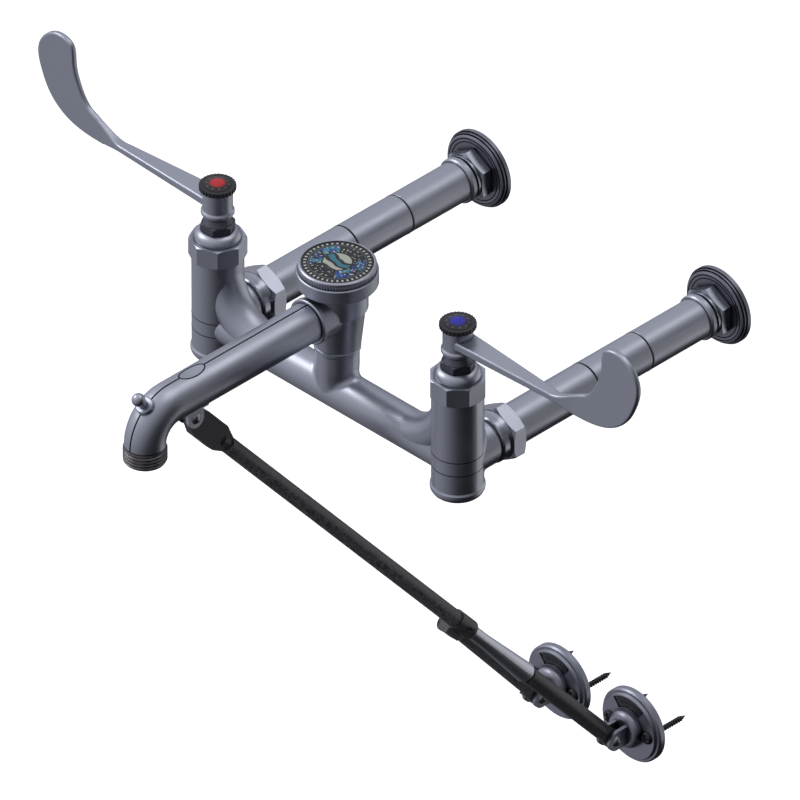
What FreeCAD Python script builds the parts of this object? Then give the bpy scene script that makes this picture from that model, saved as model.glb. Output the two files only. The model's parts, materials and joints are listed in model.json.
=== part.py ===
"""Wall-mounted service sink faucet: two lever valves, vacuum breaker, hose-end spout, brace.

Frame, in millimetres: origin on the finished wall midway between the two inlets, +Z up,
+Y into the wall, +X towards the cold side.
"""
import FreeCAD, Part
import math
import os

from FreeCAD import Placement, Rotation
from FreeCAD import Vector as V

os.makedirs("parts", exist_ok=True)

X_DIR, Y_DIR, Z_DIR = V(1, 0, 0), V(0, 1, 0), V(0, 0, 1)
MID = "middle of an arc"
SIDES = (("hot", -1), ("cold", 1))

# Driving dimensions
CENTRES = 203.2          # between the two inlets, 8 inches
REACH = 224.0            # valve axes to the finished wall
TUBE_R = 12.7            # centre tube and spout
VALVE_R = 16.0           # valve body
VALVE_TOP = 47.0
VALVE_BASE = -28.0       # plug under the valve body
ELBOW_START = 45.6       # centre tube's bend, from the valve axis
ELBOW_R = 42.0           # centreline
PIPE_R = 13.1            # inlet arm
PIPE_BORE = 9.0
SUPPLY_R = 9.6           # female half-inch pipe thread
SUPPLY_DEPTH = 15.0
STEM_R = 4.0
STEM_FIT = 0.05          # running clearance, radial
SPOUT_Z = 60.0
OUTLET_OFFSET = 161.7    # valve plane to the outlet axis
BEND_R = 20.0            # spout elbow, centreline
HOSE_R = 13.45           # male three-quarter hose thread
HOSE_TOP, HOSE_BASE = 40.0, 28.0
LEVER_REACH = 151.6
BRACE_PIVOT = V(0, -124.0 - REACH, 41.1)
FOOT_SPACING = 63.5      # between the two brace feet, 2.5 inches
FOOT_Z = -346.0
FOOT_STANDOFF = 22.0     # foot pin to the wall
BRACE_R = 5.4            # upper brace tube
ROD_R = 4.35             # sliding brace rod
STAY_R = 4.25            # second leg of the brace
COLLAR_AT = 324.0        # stay pin, measured down the brace from its pivot
SCREW_R = 1.9            # brace wall screws, over the thread
SCREW_PITCH = 32.0
SCREW_STICK_OUT = 27.0   # beyond the wall face

VALVE_X = CENTRES / 2
HUB = V(0, -REACH, 0)    # centre tube axis, under the vacuum breaker


def placed(shape, base, axis):
    """Move a shape drawn along +Z so that it starts at base and runs along axis."""
    shape.Placement = Placement(base, Rotation(Z_DIR, axis))
    return shape


def outline_face(points):
    """Face in the XZ plane. A point marked MID is the middle of the arc between its neighbours."""
    marks = [(V(p[0], 0, p[1]), len(p) > 2) for p in points]
    edges = []
    for i, (here, is_mid) in enumerate(marks):
        after, after_mid = marks[(i + 1) % len(marks)]
        if is_mid:
            continue
        if after_mid:
            end = marks[(i + 2) % len(marks)][0]
            edges.append(Part.Arc(here, after, end).toShape())
        else:
            edges.append(Part.LineSegment(here, after).toShape())
    return Part.Face(Part.Wire(edges))


def turned(points, base=V(), axis=Z_DIR):
    """Solid turned about an axis from (radius, distance along the axis) points."""
    solid = outline_face(points).revolve(V(), Z_DIR, 360)
    return placed(solid, base, axis)


def dome(radius, start, height):
    """Last outline points of a turned piece that ends in a spherical cap on its axis."""
    cap_r = (radius ** 2 + height ** 2) / 2 / height
    half = math.asin(radius / cap_r) / 2
    return [(cap_r * math.sin(half), start + height - cap_r * (1 - math.cos(half)), MID),
            (0, start + height)]


def ring(inner, outer, start, end, base=V(), axis=Z_DIR):
    """Plain ring, or a disc where inner is 0."""
    return turned([(inner, start), (outer, start), (outer, end), (inner, end)], base, axis)


def bar(radius, start, end):
    """Round bar between two points."""
    return Part.makeCylinder(radius, (end - start).Length, start, end - start)


def prism(sides, flats, start, end, base=V(), axis=Z_DIR, turn=0.0, chamfer=1.2):
    """Nut blank: a prism with chamfered corners, across the given flats."""
    corner = flats / 2 / math.cos(math.pi / sides)
    angles = [math.radians(turn) + 2 * math.pi * i / sides for i in range(sides + 1)]
    wire = Part.makePolygon([V(corner * math.cos(a), corner * math.sin(a), start) for a in angles])
    blank = Part.Face(wire).extrude(V(0, 0, end - start))
    rim = flats / 2 + 0.2
    turned_limit = turned([(0, start), (rim, start), (corner, start + chamfer),
                           (corner, end - chamfer), (rim, end), (0, end)])
    return placed(blank.common(turned_limit), base, axis)


def slab(outline, thickness):
    """Plate from a closed wire in the YZ plane, centred on X = 0."""
    plate = Part.Face(outline).extrude(V(thickness, 0, 0))
    plate.translate(V(-thickness / 2, 0, 0))
    return plate


def merged(first, *others):
    """One solid from pieces that overlap."""
    return first.fuse(list(others)).removeSplitter()


def save(name, *solids):
    """Write one node, as a single solid or as a group of separate ones."""
    shape = solids[0] if len(solids) == 1 else Part.makeCompound(list(solids))
    shape.exportStep(f"parts/{name}.step")


def on_valve(side, shape):
    """Copy of a piece drawn about the Z axis, moved onto one valve."""
    copy = shape.copy()
    copy.translate(V(side * VALVE_X, -REACH, 0))
    return copy


def both(shape):
    """The same piece on the hot and on the cold valve."""
    return [on_valve(side, shape) for _, side in SIDES]


# ---------------------------------------------------------------- body casting

SEAT_Z = 8.0             # valve seat inside the body
CHAMBER_R = 10.0
BONNET_BORE = 12.5
BONNET_STEP = 38.0
GASKET_R = 15.0
GASKET_Z = 46.4
UNION_R = 14.1           # male union thread
ARM_R = 15.0
ARM_END = 24.0
UNION_FACE = 33.0
NECK_R = 13.4
NECK_TOP = 29.0
WATERWAY_R = 9.6
SPIGOT_R = 11.0


def blended(trunk, branch, radius, test):
    """Trunk and branch fused, with a fillet where the branch leaves the trunk."""
    joined = merged(trunk, branch)
    return joined.makeFillet(radius, [edge for edge in joined.Edges if test(edge)])


def valve_elbow(base, side):
    """Bend that lifts the centre tube into a valve body's inner side."""
    start = base - V(side * ELBOW_START, 0, 0)
    section = Part.Face(Part.Wire(Part.makeCircle(TUBE_R - 0.4, start, X_DIR)))
    return section.revolve(start + V(0, 0, ELBOW_R), Y_DIR * side, -90)


def faucet_body():
    """Casting with both valve bodies, the centre tube, the neck and the two rear arms."""
    tube = bar(TUBE_R, HUB - V(VALVE_X, 0, 0), HUB + V(VALVE_X, 0, 0))
    neck = turned([(0, 0), (TUBE_R - 0.3, 0), (NECK_R, 18), (NECK_R, NECK_TOP), (0, NECK_TOP)], HUB)
    outside = blended(tube, neck, 5.0, lambda e: e.Length > 15 and abs(e.CenterOfMass.x) < 30
                      and 0.5 < e.CenterOfMass.z < 17.9)
    inside = []
    for _, side in SIDES:
        base = HUB + V(side * VALVE_X, 0, 0)
        tower = turned([(0, VALVE_BASE), (8.2, VALVE_BASE), (8.6, VALVE_BASE + 0.4), (8.6, -25),
                        (11.5, -25), (15.2, -23.6, MID), (VALVE_R + 0.8, -20.6),
                        (VALVE_R + 0.8, -18.6), (VALVE_R, -17.4), (VALVE_R, VALVE_TOP),
                        (0, VALVE_TOP)], base)
        arm = turned([(0, 0), (ARM_R, 0), (ARM_R, ARM_END - 2.5), (UNION_R, ARM_END - 0.6),
                      (UNION_R, UNION_FACE), (0, UNION_FACE)], base, Y_DIR)
        rear = blended(tower, arm, 3.0, lambda e: 4 < e.CenterOfMass.y + REACH < VALVE_R
                       and e.Length > 40)
        outside = merged(outside, rear, valve_elbow(base, side))
        inside += [
            turned([(0, -15), (7, -15), (7, SEAT_Z), (CHAMBER_R, SEAT_Z), (CHAMBER_R, BONNET_STEP),
                    (BONNET_BORE, BONNET_STEP), (BONNET_BORE, GASKET_Z), (GASKET_R, GASKET_Z),
                    (GASKET_R, VALVE_TOP + 1), (0, VALVE_TOP + 1)], base),
            turned([(0, 0), (6.5, 0), (6.5, 19), (PIPE_BORE, 21.5), (PIPE_BORE, 40), (0, 40)],
                   base, Y_DIR),
            bar(4.5, base + V(-side * 6.5, 0, 14), base + V(-side * 21.5, 0, 2)),
        ]
    inside.append(bar(WATERWAY_R, HUB - V(VALVE_X - 18, 0, 0), HUB + V(VALVE_X - 18, 0, 0)))
    inside.append(turned([(0, 0), (8, 0), (8, 19), (SPIGOT_R, 19), (SPIGOT_R, 40), (0, 40)], HUB))
    return outside.removeSplitter().cut(inside)


save("faucet_body", faucet_body())

# ---------------------------------------------------------------- inlet arms

NUT_END = 41.5
TAIL_FLANGE = 38.8
FIRST_JOINT, SECOND_JOINT = 108.0, 153.0
SOCKET_R, SOCKET_DEPTH = 11.0, 10.0
SHOULDER, SHOULDER_END = 202.0, 207.0
LOCK_THREAD_R = 12.6
NUT_FLATS = 33.0
LOCK_FLATS = 29.5
FLANGE_R = 25.5
FLANGE_FRONT = 218.0
GROOVE = 0.35


def union_nut(base):
    """Hexagon nut that draws the inlet arm against the valve body."""
    collar = turned([(0, ARM_END), (14.9, ARM_END), (15.6, ARM_END + 1), (15.6, 29), (16.4, 32),
                     (16.4, 33), (0, 33)], base, Y_DIR)
    blank = prism(6, NUT_FLATS, 31.5, NUT_END, base, Y_DIR, turn=30)
    hole = turned([(0, 20), (UNION_R, 20), (UNION_R, TAIL_FLANGE), (PIPE_R + 0.1, TAIL_FLANGE),
                   (PIPE_R + 0.1, 45), (0, 45)], base, Y_DIR)
    return merged(collar, blank).cut(hole)


def inlet_tail(base):
    """First length of arm, with the flange that the union nut holds."""
    end = FIRST_JOINT - GROOVE
    return turned([(PIPE_BORE, 35), (UNION_R - 0.1, 35), (UNION_R - 0.1, TAIL_FLANGE),
                   (PIPE_R, TAIL_FLANGE), (PIPE_R, end - 0.6), (PIPE_R - 0.6, end), (SOCKET_R, end),
                   (SOCKET_R, end + SOCKET_DEPTH), (PIPE_BORE, end + SOCKET_DEPTH)], base, Y_DIR)


def inlet_sleeve(base):
    """Middle sleeve, screwed over the spigots of the lengths on either side."""
    start, end = FIRST_JOINT, SECOND_JOINT
    return turned([(SOCKET_R, start), (PIPE_R - 0.6, start), (PIPE_R, start + 0.6),
                   (PIPE_R, end - 0.6), (PIPE_R - 0.6, end), (SOCKET_R, end),
                   (SOCKET_R, end - 12), (PIPE_BORE, end - 14), (PIPE_BORE, start + 14),
                   (SOCKET_R, start + 12)], base, Y_DIR)


def wall_nipple(base):
    """Last length of arm: shoulder ring, lock nut thread outside, supply thread inside."""
    start = SECOND_JOINT + GROOVE
    return turned([(PIPE_BORE, start - SOCKET_DEPTH), (SOCKET_R, start - SOCKET_DEPTH),
                   (SOCKET_R, start), (PIPE_R - 0.6, start), (PIPE_R, start + 0.6),
                   (PIPE_R, SHOULDER), (14.0, SHOULDER), (14.8, SHOULDER + 1.2),
                   (14.8, SHOULDER_END - 1.2), (14.0, SHOULDER_END), (LOCK_THREAD_R, SHOULDER_END),
                   (LOCK_THREAD_R, REACH), (SUPPLY_R, REACH), (SUPPLY_R, REACH - SUPPLY_DEPTH),
                   (PIPE_BORE, REACH - SUPPLY_DEPTH)], base, Y_DIR)


def flange_nut(base):
    """Lock nut that holds the wall flange up to the wall."""
    washer = ring(LOCK_THREAD_R, 14.2, 208, 210.2, base, Y_DIR)
    blank = prism(6, LOCK_FLATS, 210, FLANGE_FRONT, base, Y_DIR, turn=30, chamfer=0.9)
    return merged(washer, blank.cut(ring(0, LOCK_THREAD_R, 200, 230, base, Y_DIR)))


def wall_flange(base):
    """Round flange with a stepped edge, flat against the wall."""
    return turned([(LOCK_THREAD_R, FLANGE_FRONT), (22.6, FLANGE_FRONT), (23.6, 218.6),
                   (23.6, 219.8), (24.6, 219.8), (24.6, 221.4), (FLANGE_R, 221.4),
                   (FLANGE_R, REACH), (LOCK_THREAD_R, REACH)], base, Y_DIR)


inlets = [(name, HUB + V(side * VALVE_X, 0, 0)) for name, side in SIDES]
for name, base in inlets:
    save(f"union_nut_{name}", union_nut(base))
    save(f"inlet_tail_{name}", inlet_tail(base))
    save(f"wall_nipple_{name}", wall_nipple(base))
    save(f"wall_flange_{name}", wall_flange(base))
save("union_gaskets", *[ring(10, 13.9, UNION_FACE, 35, base, Y_DIR) for _, base in inlets])
save("inlet_sleeves", *[inlet_sleeve(base) for _, base in inlets])
save("flange_nuts", *[flange_nut(base) for _, base in inlets])

# ---------------------------------------------------------------- valves

BONNET_FLATS = 33.0
BONNET_SHOULDER = 60.0
BONNET_TOP = 66.0
PACKING_R = 6.5
STEM_TOP = 90.0
HANDLE_BASE = 77.0
HANDLE_TOP = 95.0
HUB_R = 9.25


def bonnet(turn):
    """Octagonal bonnet that clamps the cartridge, with a domed top for the packing nut."""
    blank = prism(8, BONNET_FLATS, VALVE_TOP, BONNET_SHOULDER, turn=turn, chamfer=0.8)
    crown = turned([(0, VALVE_TOP), (BONNET_BORE + 1, VALVE_TOP), (14.4, BONNET_SHOULDER),
                    (13.5, 63.7, MID), (10.4, BONNET_TOP), (0, BONNET_TOP)])
    thread = ring(0, BONNET_BORE, 41, VALVE_TOP + 1)
    hole = turned([(0, 40), (8, 40), (8, 52), (STEM_R + 0.1, 52), (STEM_R + 0.1, 54),
                   (PACKING_R, 54), (PACKING_R, 70), (0, 70)])
    return merged(blank, crown, thread).cut(hole)


def cartridge():
    """Quarter-turn cartridge housing, with two side windows."""
    housing = turned([(9.1, 10.5), (9.8, 10.5), (9.8, BONNET_STEP), (12.3, BONNET_STEP),
                      (12.3, 41), (7.9, 41), (7.9, 51.8), (STEM_R + STEM_FIT, 51.8),
                      (STEM_R + STEM_FIT, 24), (9.1, 24)])
    window = Part.makeBox(24, 8, 6, V(-12, -4, 17))
    return housing.cut(window)


def disc(radius, start, end):
    """Ceramic disc with two ports."""
    ports = [bar(2.4, V(0, 5 * s, start - 1), V(0, 5 * s, end + 1)) for s in (-1, 1)]
    return ring(0, radius, start, end).cut(ports)


def spindle():
    """Stem with its driver at the bottom and a screw hole in its top."""
    stem = turned([(0, 16.5), (8.6, 16.5), (8.6, 20), (STEM_R, 20), (STEM_R, STEM_TOP - 0.8),
                   (STEM_R - 0.8, STEM_TOP), (1.6, STEM_TOP), (1.6, 78), (0, 78)])
    slots = [Part.makeBox(6.4, 6, 5, V(-3.2, y, 16)) for y in (-10.4, 4.4)]
    return stem.cut(slots)


def rounded_section(at, half_width, low, high):
    """Rounded rectangle across the lever, at a distance from the stem."""
    r = min(half_width, (high - low) / 2) * 0.45
    k = r * (1 - math.sqrt(0.5))
    y, edges = half_width, []
    corners = [((y - r, low), (y - k, low + k), (y, low + r)),
               ((y, high - r), (y - k, high - k), (y - r, high)),
               ((r - y, high), (k - y, high - k), (-y, high - r)),
               ((-y, low + r), (k - y, low + k), (r - y, low))]
    for i, (start, middle, end) in enumerate(corners):
        after = corners[(i + 1) % 4][0]
        points = [V(at, *p) for p in (start, middle, end, after)]
        edges.append(Part.Arc(*points[:3]).toShape())
        edges.append(Part.LineSegment(*points[2:]).toShape())
    return Part.Wire(edges)


ARM_SECTIONS = [(4, 7.9, 83.4, 89.2), (78, 3.6, 82.8, 87.4)]
NECK_SECTIONS = [(78, 3.6, 82.8, 87.4), (86, 3.0, 82.1, 88.4), (93, 2.3, 81.2, 91.6),
                 (101, 2.0, 80.9, 95.6)]
BLADE_OUTLINE = [(96.5, 80.3), (112, 81), (126, 84.4), (140, 94), (149, 110), (LEVER_REACH, 126),
                 (145.5, 137), (133, 142.6), (123.5, 139), (121.2, 127), (117, 112), (108, 99.5),
                 (98, 93.2)]


def handle():
    """Wrist-blade lever along +X: hub, tapered arm and upturned blade."""
    hub = turned([(0, HANDLE_BASE), (9.4, HANDLE_BASE), (10.25, 78), (10.25, 79.6), (HUB_R, 81),
                  (HUB_R, HANDLE_TOP), (0, HANDLE_TOP)])
    arm = Part.makeLoft([rounded_section(*s) for s in ARM_SECTIONS], True, True)
    neck = Part.makeLoft([rounded_section(*s) for s in NECK_SECTIONS], True, False)
    curve = Part.BSplineCurve()
    curve.interpolate([V(a, -2, z) for a, z in BLADE_OUTLINE], True)
    blade = Part.Face(Part.Wire(curve.toShape())).extrude(V(0, 4, 0))
    blade = blade.makeFillet(1.3, blade.Edges)
    hole = turned([(0, 70), (STEM_R, 70), (STEM_R, STEM_TOP), (1.6, STEM_TOP), (1.6, 91), (6, 91),
                   (6, 100), (0, 100)])
    return merged(hub, arm, neck, blade).cut(hole)


def index_ring():
    """Scalloped ring round the index button."""
    lobes = 30
    rim = ring(8.5, 10.9, HANDLE_TOP, 98)
    beads = [bar(0.75, V(10.6 * math.cos(a), 10.6 * math.sin(a), HANDLE_TOP),
                 V(10.6 * math.cos(a), 10.6 * math.sin(a), 98))
             for a in (2 * math.pi * i / lobes for i in range(lobes))]
    return merged(rim, *beads)


index_button = turned([(0, 93.6), (5.9, 93.6), (5.9, HANDLE_TOP), (8.4, HANDLE_TOP), (8.4, 98.2)]
                      + dome(8.4, 98.2, 1.4))
handle_screw = turned([(0, 79), (1.6, 79), (1.6, 91), (3.6, 91), (3.6, 92.2)]
                      + dome(3.6, 92.2, 1.2))
packing_nut = prism(6, 19.0, BONNET_TOP, 71.4, chamfer=0.8)
packing_nut = merged(packing_nut, turned([(0, 58), (PACKING_R, 58), (PACKING_R, 67), (9.2, 67),
                                          (9.2, 71.4), (7, 75), (0, 75)]))
packing_nut = packing_nut.cut(ring(0, STEM_R + 0.15, 50, 80))

save("packing_nuts", *both(packing_nut))
save("stem_packings", *both(ring(STEM_R + STEM_FIT, PACKING_R, 54, 58)))
save("cartridges", *both(cartridge()))
save("fixed_discs", *both(disc(9.0, 10.5, 13.5)))
save("seat_seals", *both(ring(7.2, 9.8, SEAT_Z, 10.5)))
save("bonnet_gaskets", *both(ring(BONNET_BORE, GASKET_R, GASKET_Z, VALVE_TOP)))

lever = handle()
lever_back = lever.copy()
lever_back.rotate(V(), Z_DIR, 180)
for name, side in SIDES:
    save(f"bonnet_{name}", on_valve(side, bonnet(0 if side < 0 else 22.5)))
    save(f"spindle_{name}", on_valve(side, spindle()))
    save(f"moving_disc_{name}", on_valve(side, disc(8.9, 13.55, 16.5)))
    save(f"handle_{name}", on_valve(side, lever if side > 0 else lever_back))
    save(f"handle_screw_{name}", on_valve(side, handle_screw))
    save(f"index_ring_{name}", on_valve(side, index_ring()))
    save(f"index_button_{name}", on_valve(side, index_button))

# ---------------------------------------------------------------- vacuum breaker

BREAKER_R = 18.7
BREAKER_CHAMBER = 15.0
BREAKER_TOP = 80.0
WATER_SEAT = 46.0
AIR_SEAT = 57.0
PORT_R = 9.0
SPOUT_SPIGOT = 10.6
COLLAR_END = 25.6        # spout boss, out from the breaker axis
CAP_R = 25.0
CAP_BASE, CAP_EDGE, CAP_TOP = 77.0, 86.6, 91.0
LABEL_R = 22.0


def breaker_body():
    """Breaker casting: spigot, flared lower part, upper drum and the spout boss."""
    outside = turned([(0, 20), (SPIGOT_R, 20), (SPIGOT_R, NECK_TOP + 0.4),
                      (13.7, NECK_TOP + 0.4), (14.3, 30.2), (14.3, 32.6), (13.9, 33), (14.4, 33.6),
                      (17.1, 58.6), (BREAKER_R, 60), (BREAKER_R, BREAKER_TOP), (0, BREAKER_TOP)],
                     HUB)
    boss = turned([(0, 0), (14.2, 0), (14.2, COLLAR_END - 4.2), (14.9, COLLAR_END - 3.6),
                   (14.9, COLLAR_END - 0.6), (14.3, COLLAR_END), (0, COLLAR_END)],
                  HUB + V(0, 0, SPOUT_Z), -Y_DIR)
    chamber = turned([(0, 10), (8, 10), (8, WATER_SEAT - 2), (9, WATER_SEAT), (11.5, WATER_SEAT),
                      (BREAKER_CHAMBER, 49), (BREAKER_CHAMBER, 73), (16, 73), (16, 90), (0, 90)],
                     HUB)
    port = turned([(0, 0), (PORT_R, 0), (PORT_R, 14), (SPOUT_SPIGOT, 14), (SPOUT_SPIGOT, 30),
                   (0, 30)], HUB + V(0, 0, SPOUT_Z), -Y_DIR)
    return merged(outside, boss).cut([chamber, port])


def air_seat():
    """Screwed-in seat that the float closes from below, with a spider for the float's stem."""
    sleeve = turned([(6.5, AIR_SEAT), (8.5, AIR_SEAT), (9.5, AIR_SEAT + 2), (9.5, 73), (16, 73),
                     (16, BREAKER_TOP), (18.2, BREAKER_TOP), (18.2, 82), (6.5, 82)], HUB)
    spider = ring(0, 4, 64, 84, HUB)
    ribs = []
    for i in range(3):
        rib = Part.makeBox(7, 1.6, 8, V(0, -0.8, 70))
        rib.rotate(V(), Z_DIR, 120 * i + 30)
        rib.translate(HUB)
        ribs.append(rib)
    guide = ring(0, 2.45, 60, 71.5, HUB)
    thread = ring(0, 1.8, 74, 90, HUB)
    return merged(sleeve, spider, *ribs).cut([guide, thread])


save("breaker_body", breaker_body())
save("air_seat", air_seat())
save("breaker_float", turned([(0, 30), (2.4, 30), (2.4, 46.1), (11, 46.1), (11, 49.2), (9.8, 50),
                              (2.4, 50), (2.4, 65.8), (1.8, 66.4), (0, 66.4)], HUB))
save("float_disc", ring(2.4, 9.5, 50, 52.4, HUB))
save("breaker_cap", turned([(22.8, CAP_BASE), (24.4, CAP_BASE), (CAP_R, CAP_BASE + 0.8),
                            (CAP_R, CAP_EDGE - 0.6), (24.4, CAP_EDGE), (23.2, CAP_EDGE),
                            (23.2, 89.4), (23.7, 89.4), (23.7, CAP_TOP - 0.2),
                            (22.9, CAP_TOP + 0.4), (LABEL_R, CAP_TOP + 0.4), (LABEL_R, 90),
                            (4.6, 90), (4.6, 87), (2, 87), (2, 84), (22, 84), (22.8, 83.2)], HUB))
save("cap_label", turned([(0, 90), (LABEL_R, 90), (LABEL_R, CAP_TOP)]
                         + dome(LABEL_R, CAP_TOP, 0.8), HUB))
save("cap_screw", turned([(0, 74.5), (1.8, 74.5), (1.8, 87), (4.2, 87), (4.2, 88.6)]
                         + dome(4.2, 88.6, 1.3), HUB))

# ---------------------------------------------------------------- spout

SPOUT_START = COLLAR_END + 0.4
STRAIGHT_END = OUTLET_OFFSET - BEND_R
SPOUT_BORE = 9.5
NOTCH_AT = 122.5
NOTCH_LENGTH, NOTCH_DEPTH = 20.0, 0.85


def along_spout(distance, up=0.0):
    """Point over the spout's axis, at a distance in front of the breaker."""
    return HUB + V(0, -distance, SPOUT_Z + up)


def spout_core(radius, start, end_z):
    """Straight run, elbow and drop of one radius."""
    bend = along_spout(STRAIGHT_END, -BEND_R)
    section = Part.Face(Part.Wire(Part.makeCircle(radius, along_spout(STRAIGHT_END), Y_DIR)))
    elbow = section.revolve(bend, X_DIR, 90)
    drop_top = HUB + V(0, -OUTLET_OFFSET, SPOUT_Z - BEND_R)
    pieces = [elbow]
    if end_z < drop_top.z - 0.01:
        pieces.append(bar(radius, drop_top, V(0, drop_top.y, end_z)))
    return bar(radius, along_spout(start), along_spout(STRAIGHT_END)).fuse(pieces)


def spout():
    """Bent tube with a spigot into the breaker and a notch on top for a pail's handle."""
    outside = spout_core(TUBE_R, SPOUT_START, HOSE_TOP)
    spigot = bar(SPOUT_SPIGOT, along_spout(15), along_spout(SPOUT_START + 1))
    sag_r = NOTCH_LENGTH ** 2 / 8 / NOTCH_DEPTH
    centre = along_spout(NOTCH_AT, TUBE_R - NOTCH_DEPTH + sag_r)
    notch = bar(sag_r, centre - V(20, 0, 0), centre + V(20, 0, 0))
    bore = spout_core(SPOUT_BORE, 10, HOSE_TOP - 2)
    return outside.fuse(spigot).removeSplitter().cut([notch, bore])


def outlet_nipple():
    """Outlet with the male hose thread, shown at its outside diameter."""
    base = HUB + V(0, -OUTLET_OFFSET, 0)
    return turned([(8.5, HOSE_BASE), (12.6, HOSE_BASE), (HOSE_R, HOSE_BASE + 0.8),
                   (HOSE_R, HOSE_TOP), (8.5, HOSE_TOP)], base)


def pail_hook():
    """Ball-ended stud on the elbow that stops a pail's handle from sliding off."""
    bend = along_spout(STRAIGHT_END, -BEND_R)
    lean = V(0, -0.597, 0.802)
    ball_r, neck_r, ball_at = 4.2, 2.7, BEND_R + 22.4
    neck = ball_at - math.sqrt(ball_r ** 2 - neck_r ** 2)
    surface = BEND_R + TUBE_R
    hook = turned([(0, surface - 8), (5.6, surface - 8), (5.6, surface + 2.4),
                   (4.9, surface + 3.0), (neck_r, surface + 3.0), (neck_r, neck),
                   (ball_r, ball_at, MID), (0, ball_at + ball_r)], bend, lean)
    return hook.cut(spout_core(TUBE_R, SPOUT_START, HOSE_TOP))


save("spout", spout())
save("outlet_nipple", outlet_nipple())
save("pail_hook", pail_hook())
save("joint_washers", ring(8.4, SPIGOT_R, 19, 20, HUB),
     ring(SPOUT_BORE, SPOUT_SPIGOT, 14, 15, along_spout(0), -Y_DIR))

# ---------------------------------------------------------------- brace

FOOT_PINS = {name: V(side * FOOT_SPACING / 2, -FOOT_STANDOFF, FOOT_Z)
             for name, side in (("left", -1), ("right", 1))}
BRACE_LINE = FOOT_PINS["right"] - BRACE_PIVOT
BRACE_LENGTH = BRACE_LINE.Length
BRACE_FRAME = Placement(BRACE_PIVOT, Rotation(X_DIR, V(), BRACE_LINE, "ZXY"))
PIN_R = 2.2
EAR_GAP = 3.2            # half the space between a pair of ears
EAR_THICK = 2.4
FOOT_PIN_R = 2.5
STAY_PIN_R = 2.0
END_THICK = 5.8
FOOT_EYE_THICK = 5.6
EYE_REACH = 12.5         # foot pin to the round part of a leg
END_HALF_WIDTH = 8.6
TUBE_START, TUBE_END = 43.0, 335.0
TAPER_START, TAPER_END = 352.0, 400.0
BALL_R = 6.35
FOOT_R = 5.5
STUD_R = 3.0
FOOT_DISC_R = 25.0
FOOT_FACE = 6.5
SHANK_R = 2.1            # plain shank of a wall screw
SCREW_HEAD_R = 4.2
LUG_AXIS = BRACE_FRAME.Rotation.multVec(X_DIR)
STAY_OFFSET = V(-9.9, 4.6, COLLAR_AT)


def in_brace(shape):
    """Move a piece drawn down +Z from the pivot into its place on the brace."""
    shape.Placement = BRACE_FRAME.multiply(shape.Placement)
    return shape


def ear_outline(radius, height):
    """Ear in the YZ plane: half round below the origin, straight sides above it."""
    points = [V(0, radius, 0), V(0, radius, height), V(0, -radius, height), V(0, -radius, 0)]
    edges = [Part.LineSegment(a, b).toShape() for a, b in zip(points, points[1:])]
    edges.append(Part.Arc(points[-1], V(0, 0, -radius), points[0]).toShape())
    return Part.Wire(edges)


def eye_plate(half_width, start, end, tip, eye_r, thickness):
    """Flat end in the YZ plane: round eye at the origin, wide middle, chamfered far end."""
    points = [V(0, eye_r, 0), V(0, half_width, start), V(0, half_width, end),
              V(0, tip, TUBE_START), V(0, -tip, TUBE_START), V(0, -half_width, end),
              V(0, -half_width, start), V(0, -eye_r, 0)]
    edges = [Part.LineSegment(a, b).toShape() for a, b in zip(points, points[1:])]
    edges.append(Part.Arc(points[-1], V(0, 0, -eye_r), points[0]).toShape())
    return slab(Part.Wire(edges), thickness)


def pin_hole(radius, at, axis=X_DIR):
    """Cutter for a hole right through a piece, along a pin axis."""
    return bar(radius, at - axis * 20, at + axis * 20)


def brace_lug():
    """Saddle under the spout with two ears for the brace's pin, square to the brace."""
    ears = [slab(ear_outline(6.2, 12.0), EAR_THICK) for _ in range(2)]
    for ear, side in zip(ears, (-1, 1)):
        ear.translate(V(side * (EAR_GAP + EAR_THICK / 2), 0, 0))
        ear.Placement = Placement(BRACE_PIVOT, Rotation(X_DIR, LUG_AXIS)).multiply(ear.Placement)
    up = SPOUT_Z - BRACE_PIVOT.z
    wrap = bar(TUBE_R + 1.2, BRACE_PIVOT + V(0, -9, up), BRACE_PIVOT + V(0, 9, up))
    strap = wrap.common(Part.makeBox(14, 18, 6, BRACE_PIVOT + V(-7, -9, 4.4)))
    return strap.fuse(ears).cut([spout_core(TUBE_R, SPOUT_START, HOSE_TOP),
                                 pin_hole(PIN_R, BRACE_PIVOT, LUG_AXIS)])


def brace_end():
    """Flat end between the ears, with a spigot up the brace tube."""
    plate = eye_plate(END_HALF_WIDTH, 9, 32, 4.8, 4.6, END_THICK)
    spigot = bar(ROD_R, V(0, 0, 36), V(0, 0, 58))
    hole = bar(PIN_R + STEM_FIT, V(-20, 0, 0), V(20, 0, 0))
    return in_brace(plate.fuse(spigot).cut(hole))


def brace_collar():
    """Clamp collar at the tube's lower end, with a flat side that carries the stay."""
    sleeve = ring(BRACE_R, 6.3, COLLAR_AT - 7, TUBE_END - 0.5)
    block = Part.makeBox(7.8, 11.0, 14, V(-7.8, -1.0, COLLAR_AT - 7))
    holes = [ring(0, BRACE_R, COLLAR_AT - 20, COLLAR_AT + 20),
             bar(STAY_PIN_R, STAY_OFFSET, STAY_OFFSET + V(4.7, 0, 0)),
             bar(1.5, V(0, 0, COLLAR_AT + 4), V(12, 0, COLLAR_AT + 4))]
    return in_brace(sleeve.fuse(block).cut(holes))


def square_to(axis, start, towards):
    """Direction from start towards a point, turned square to a pin's axis."""
    line = towards - start
    return (line - axis * line.dot(axis)).normalize()


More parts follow.
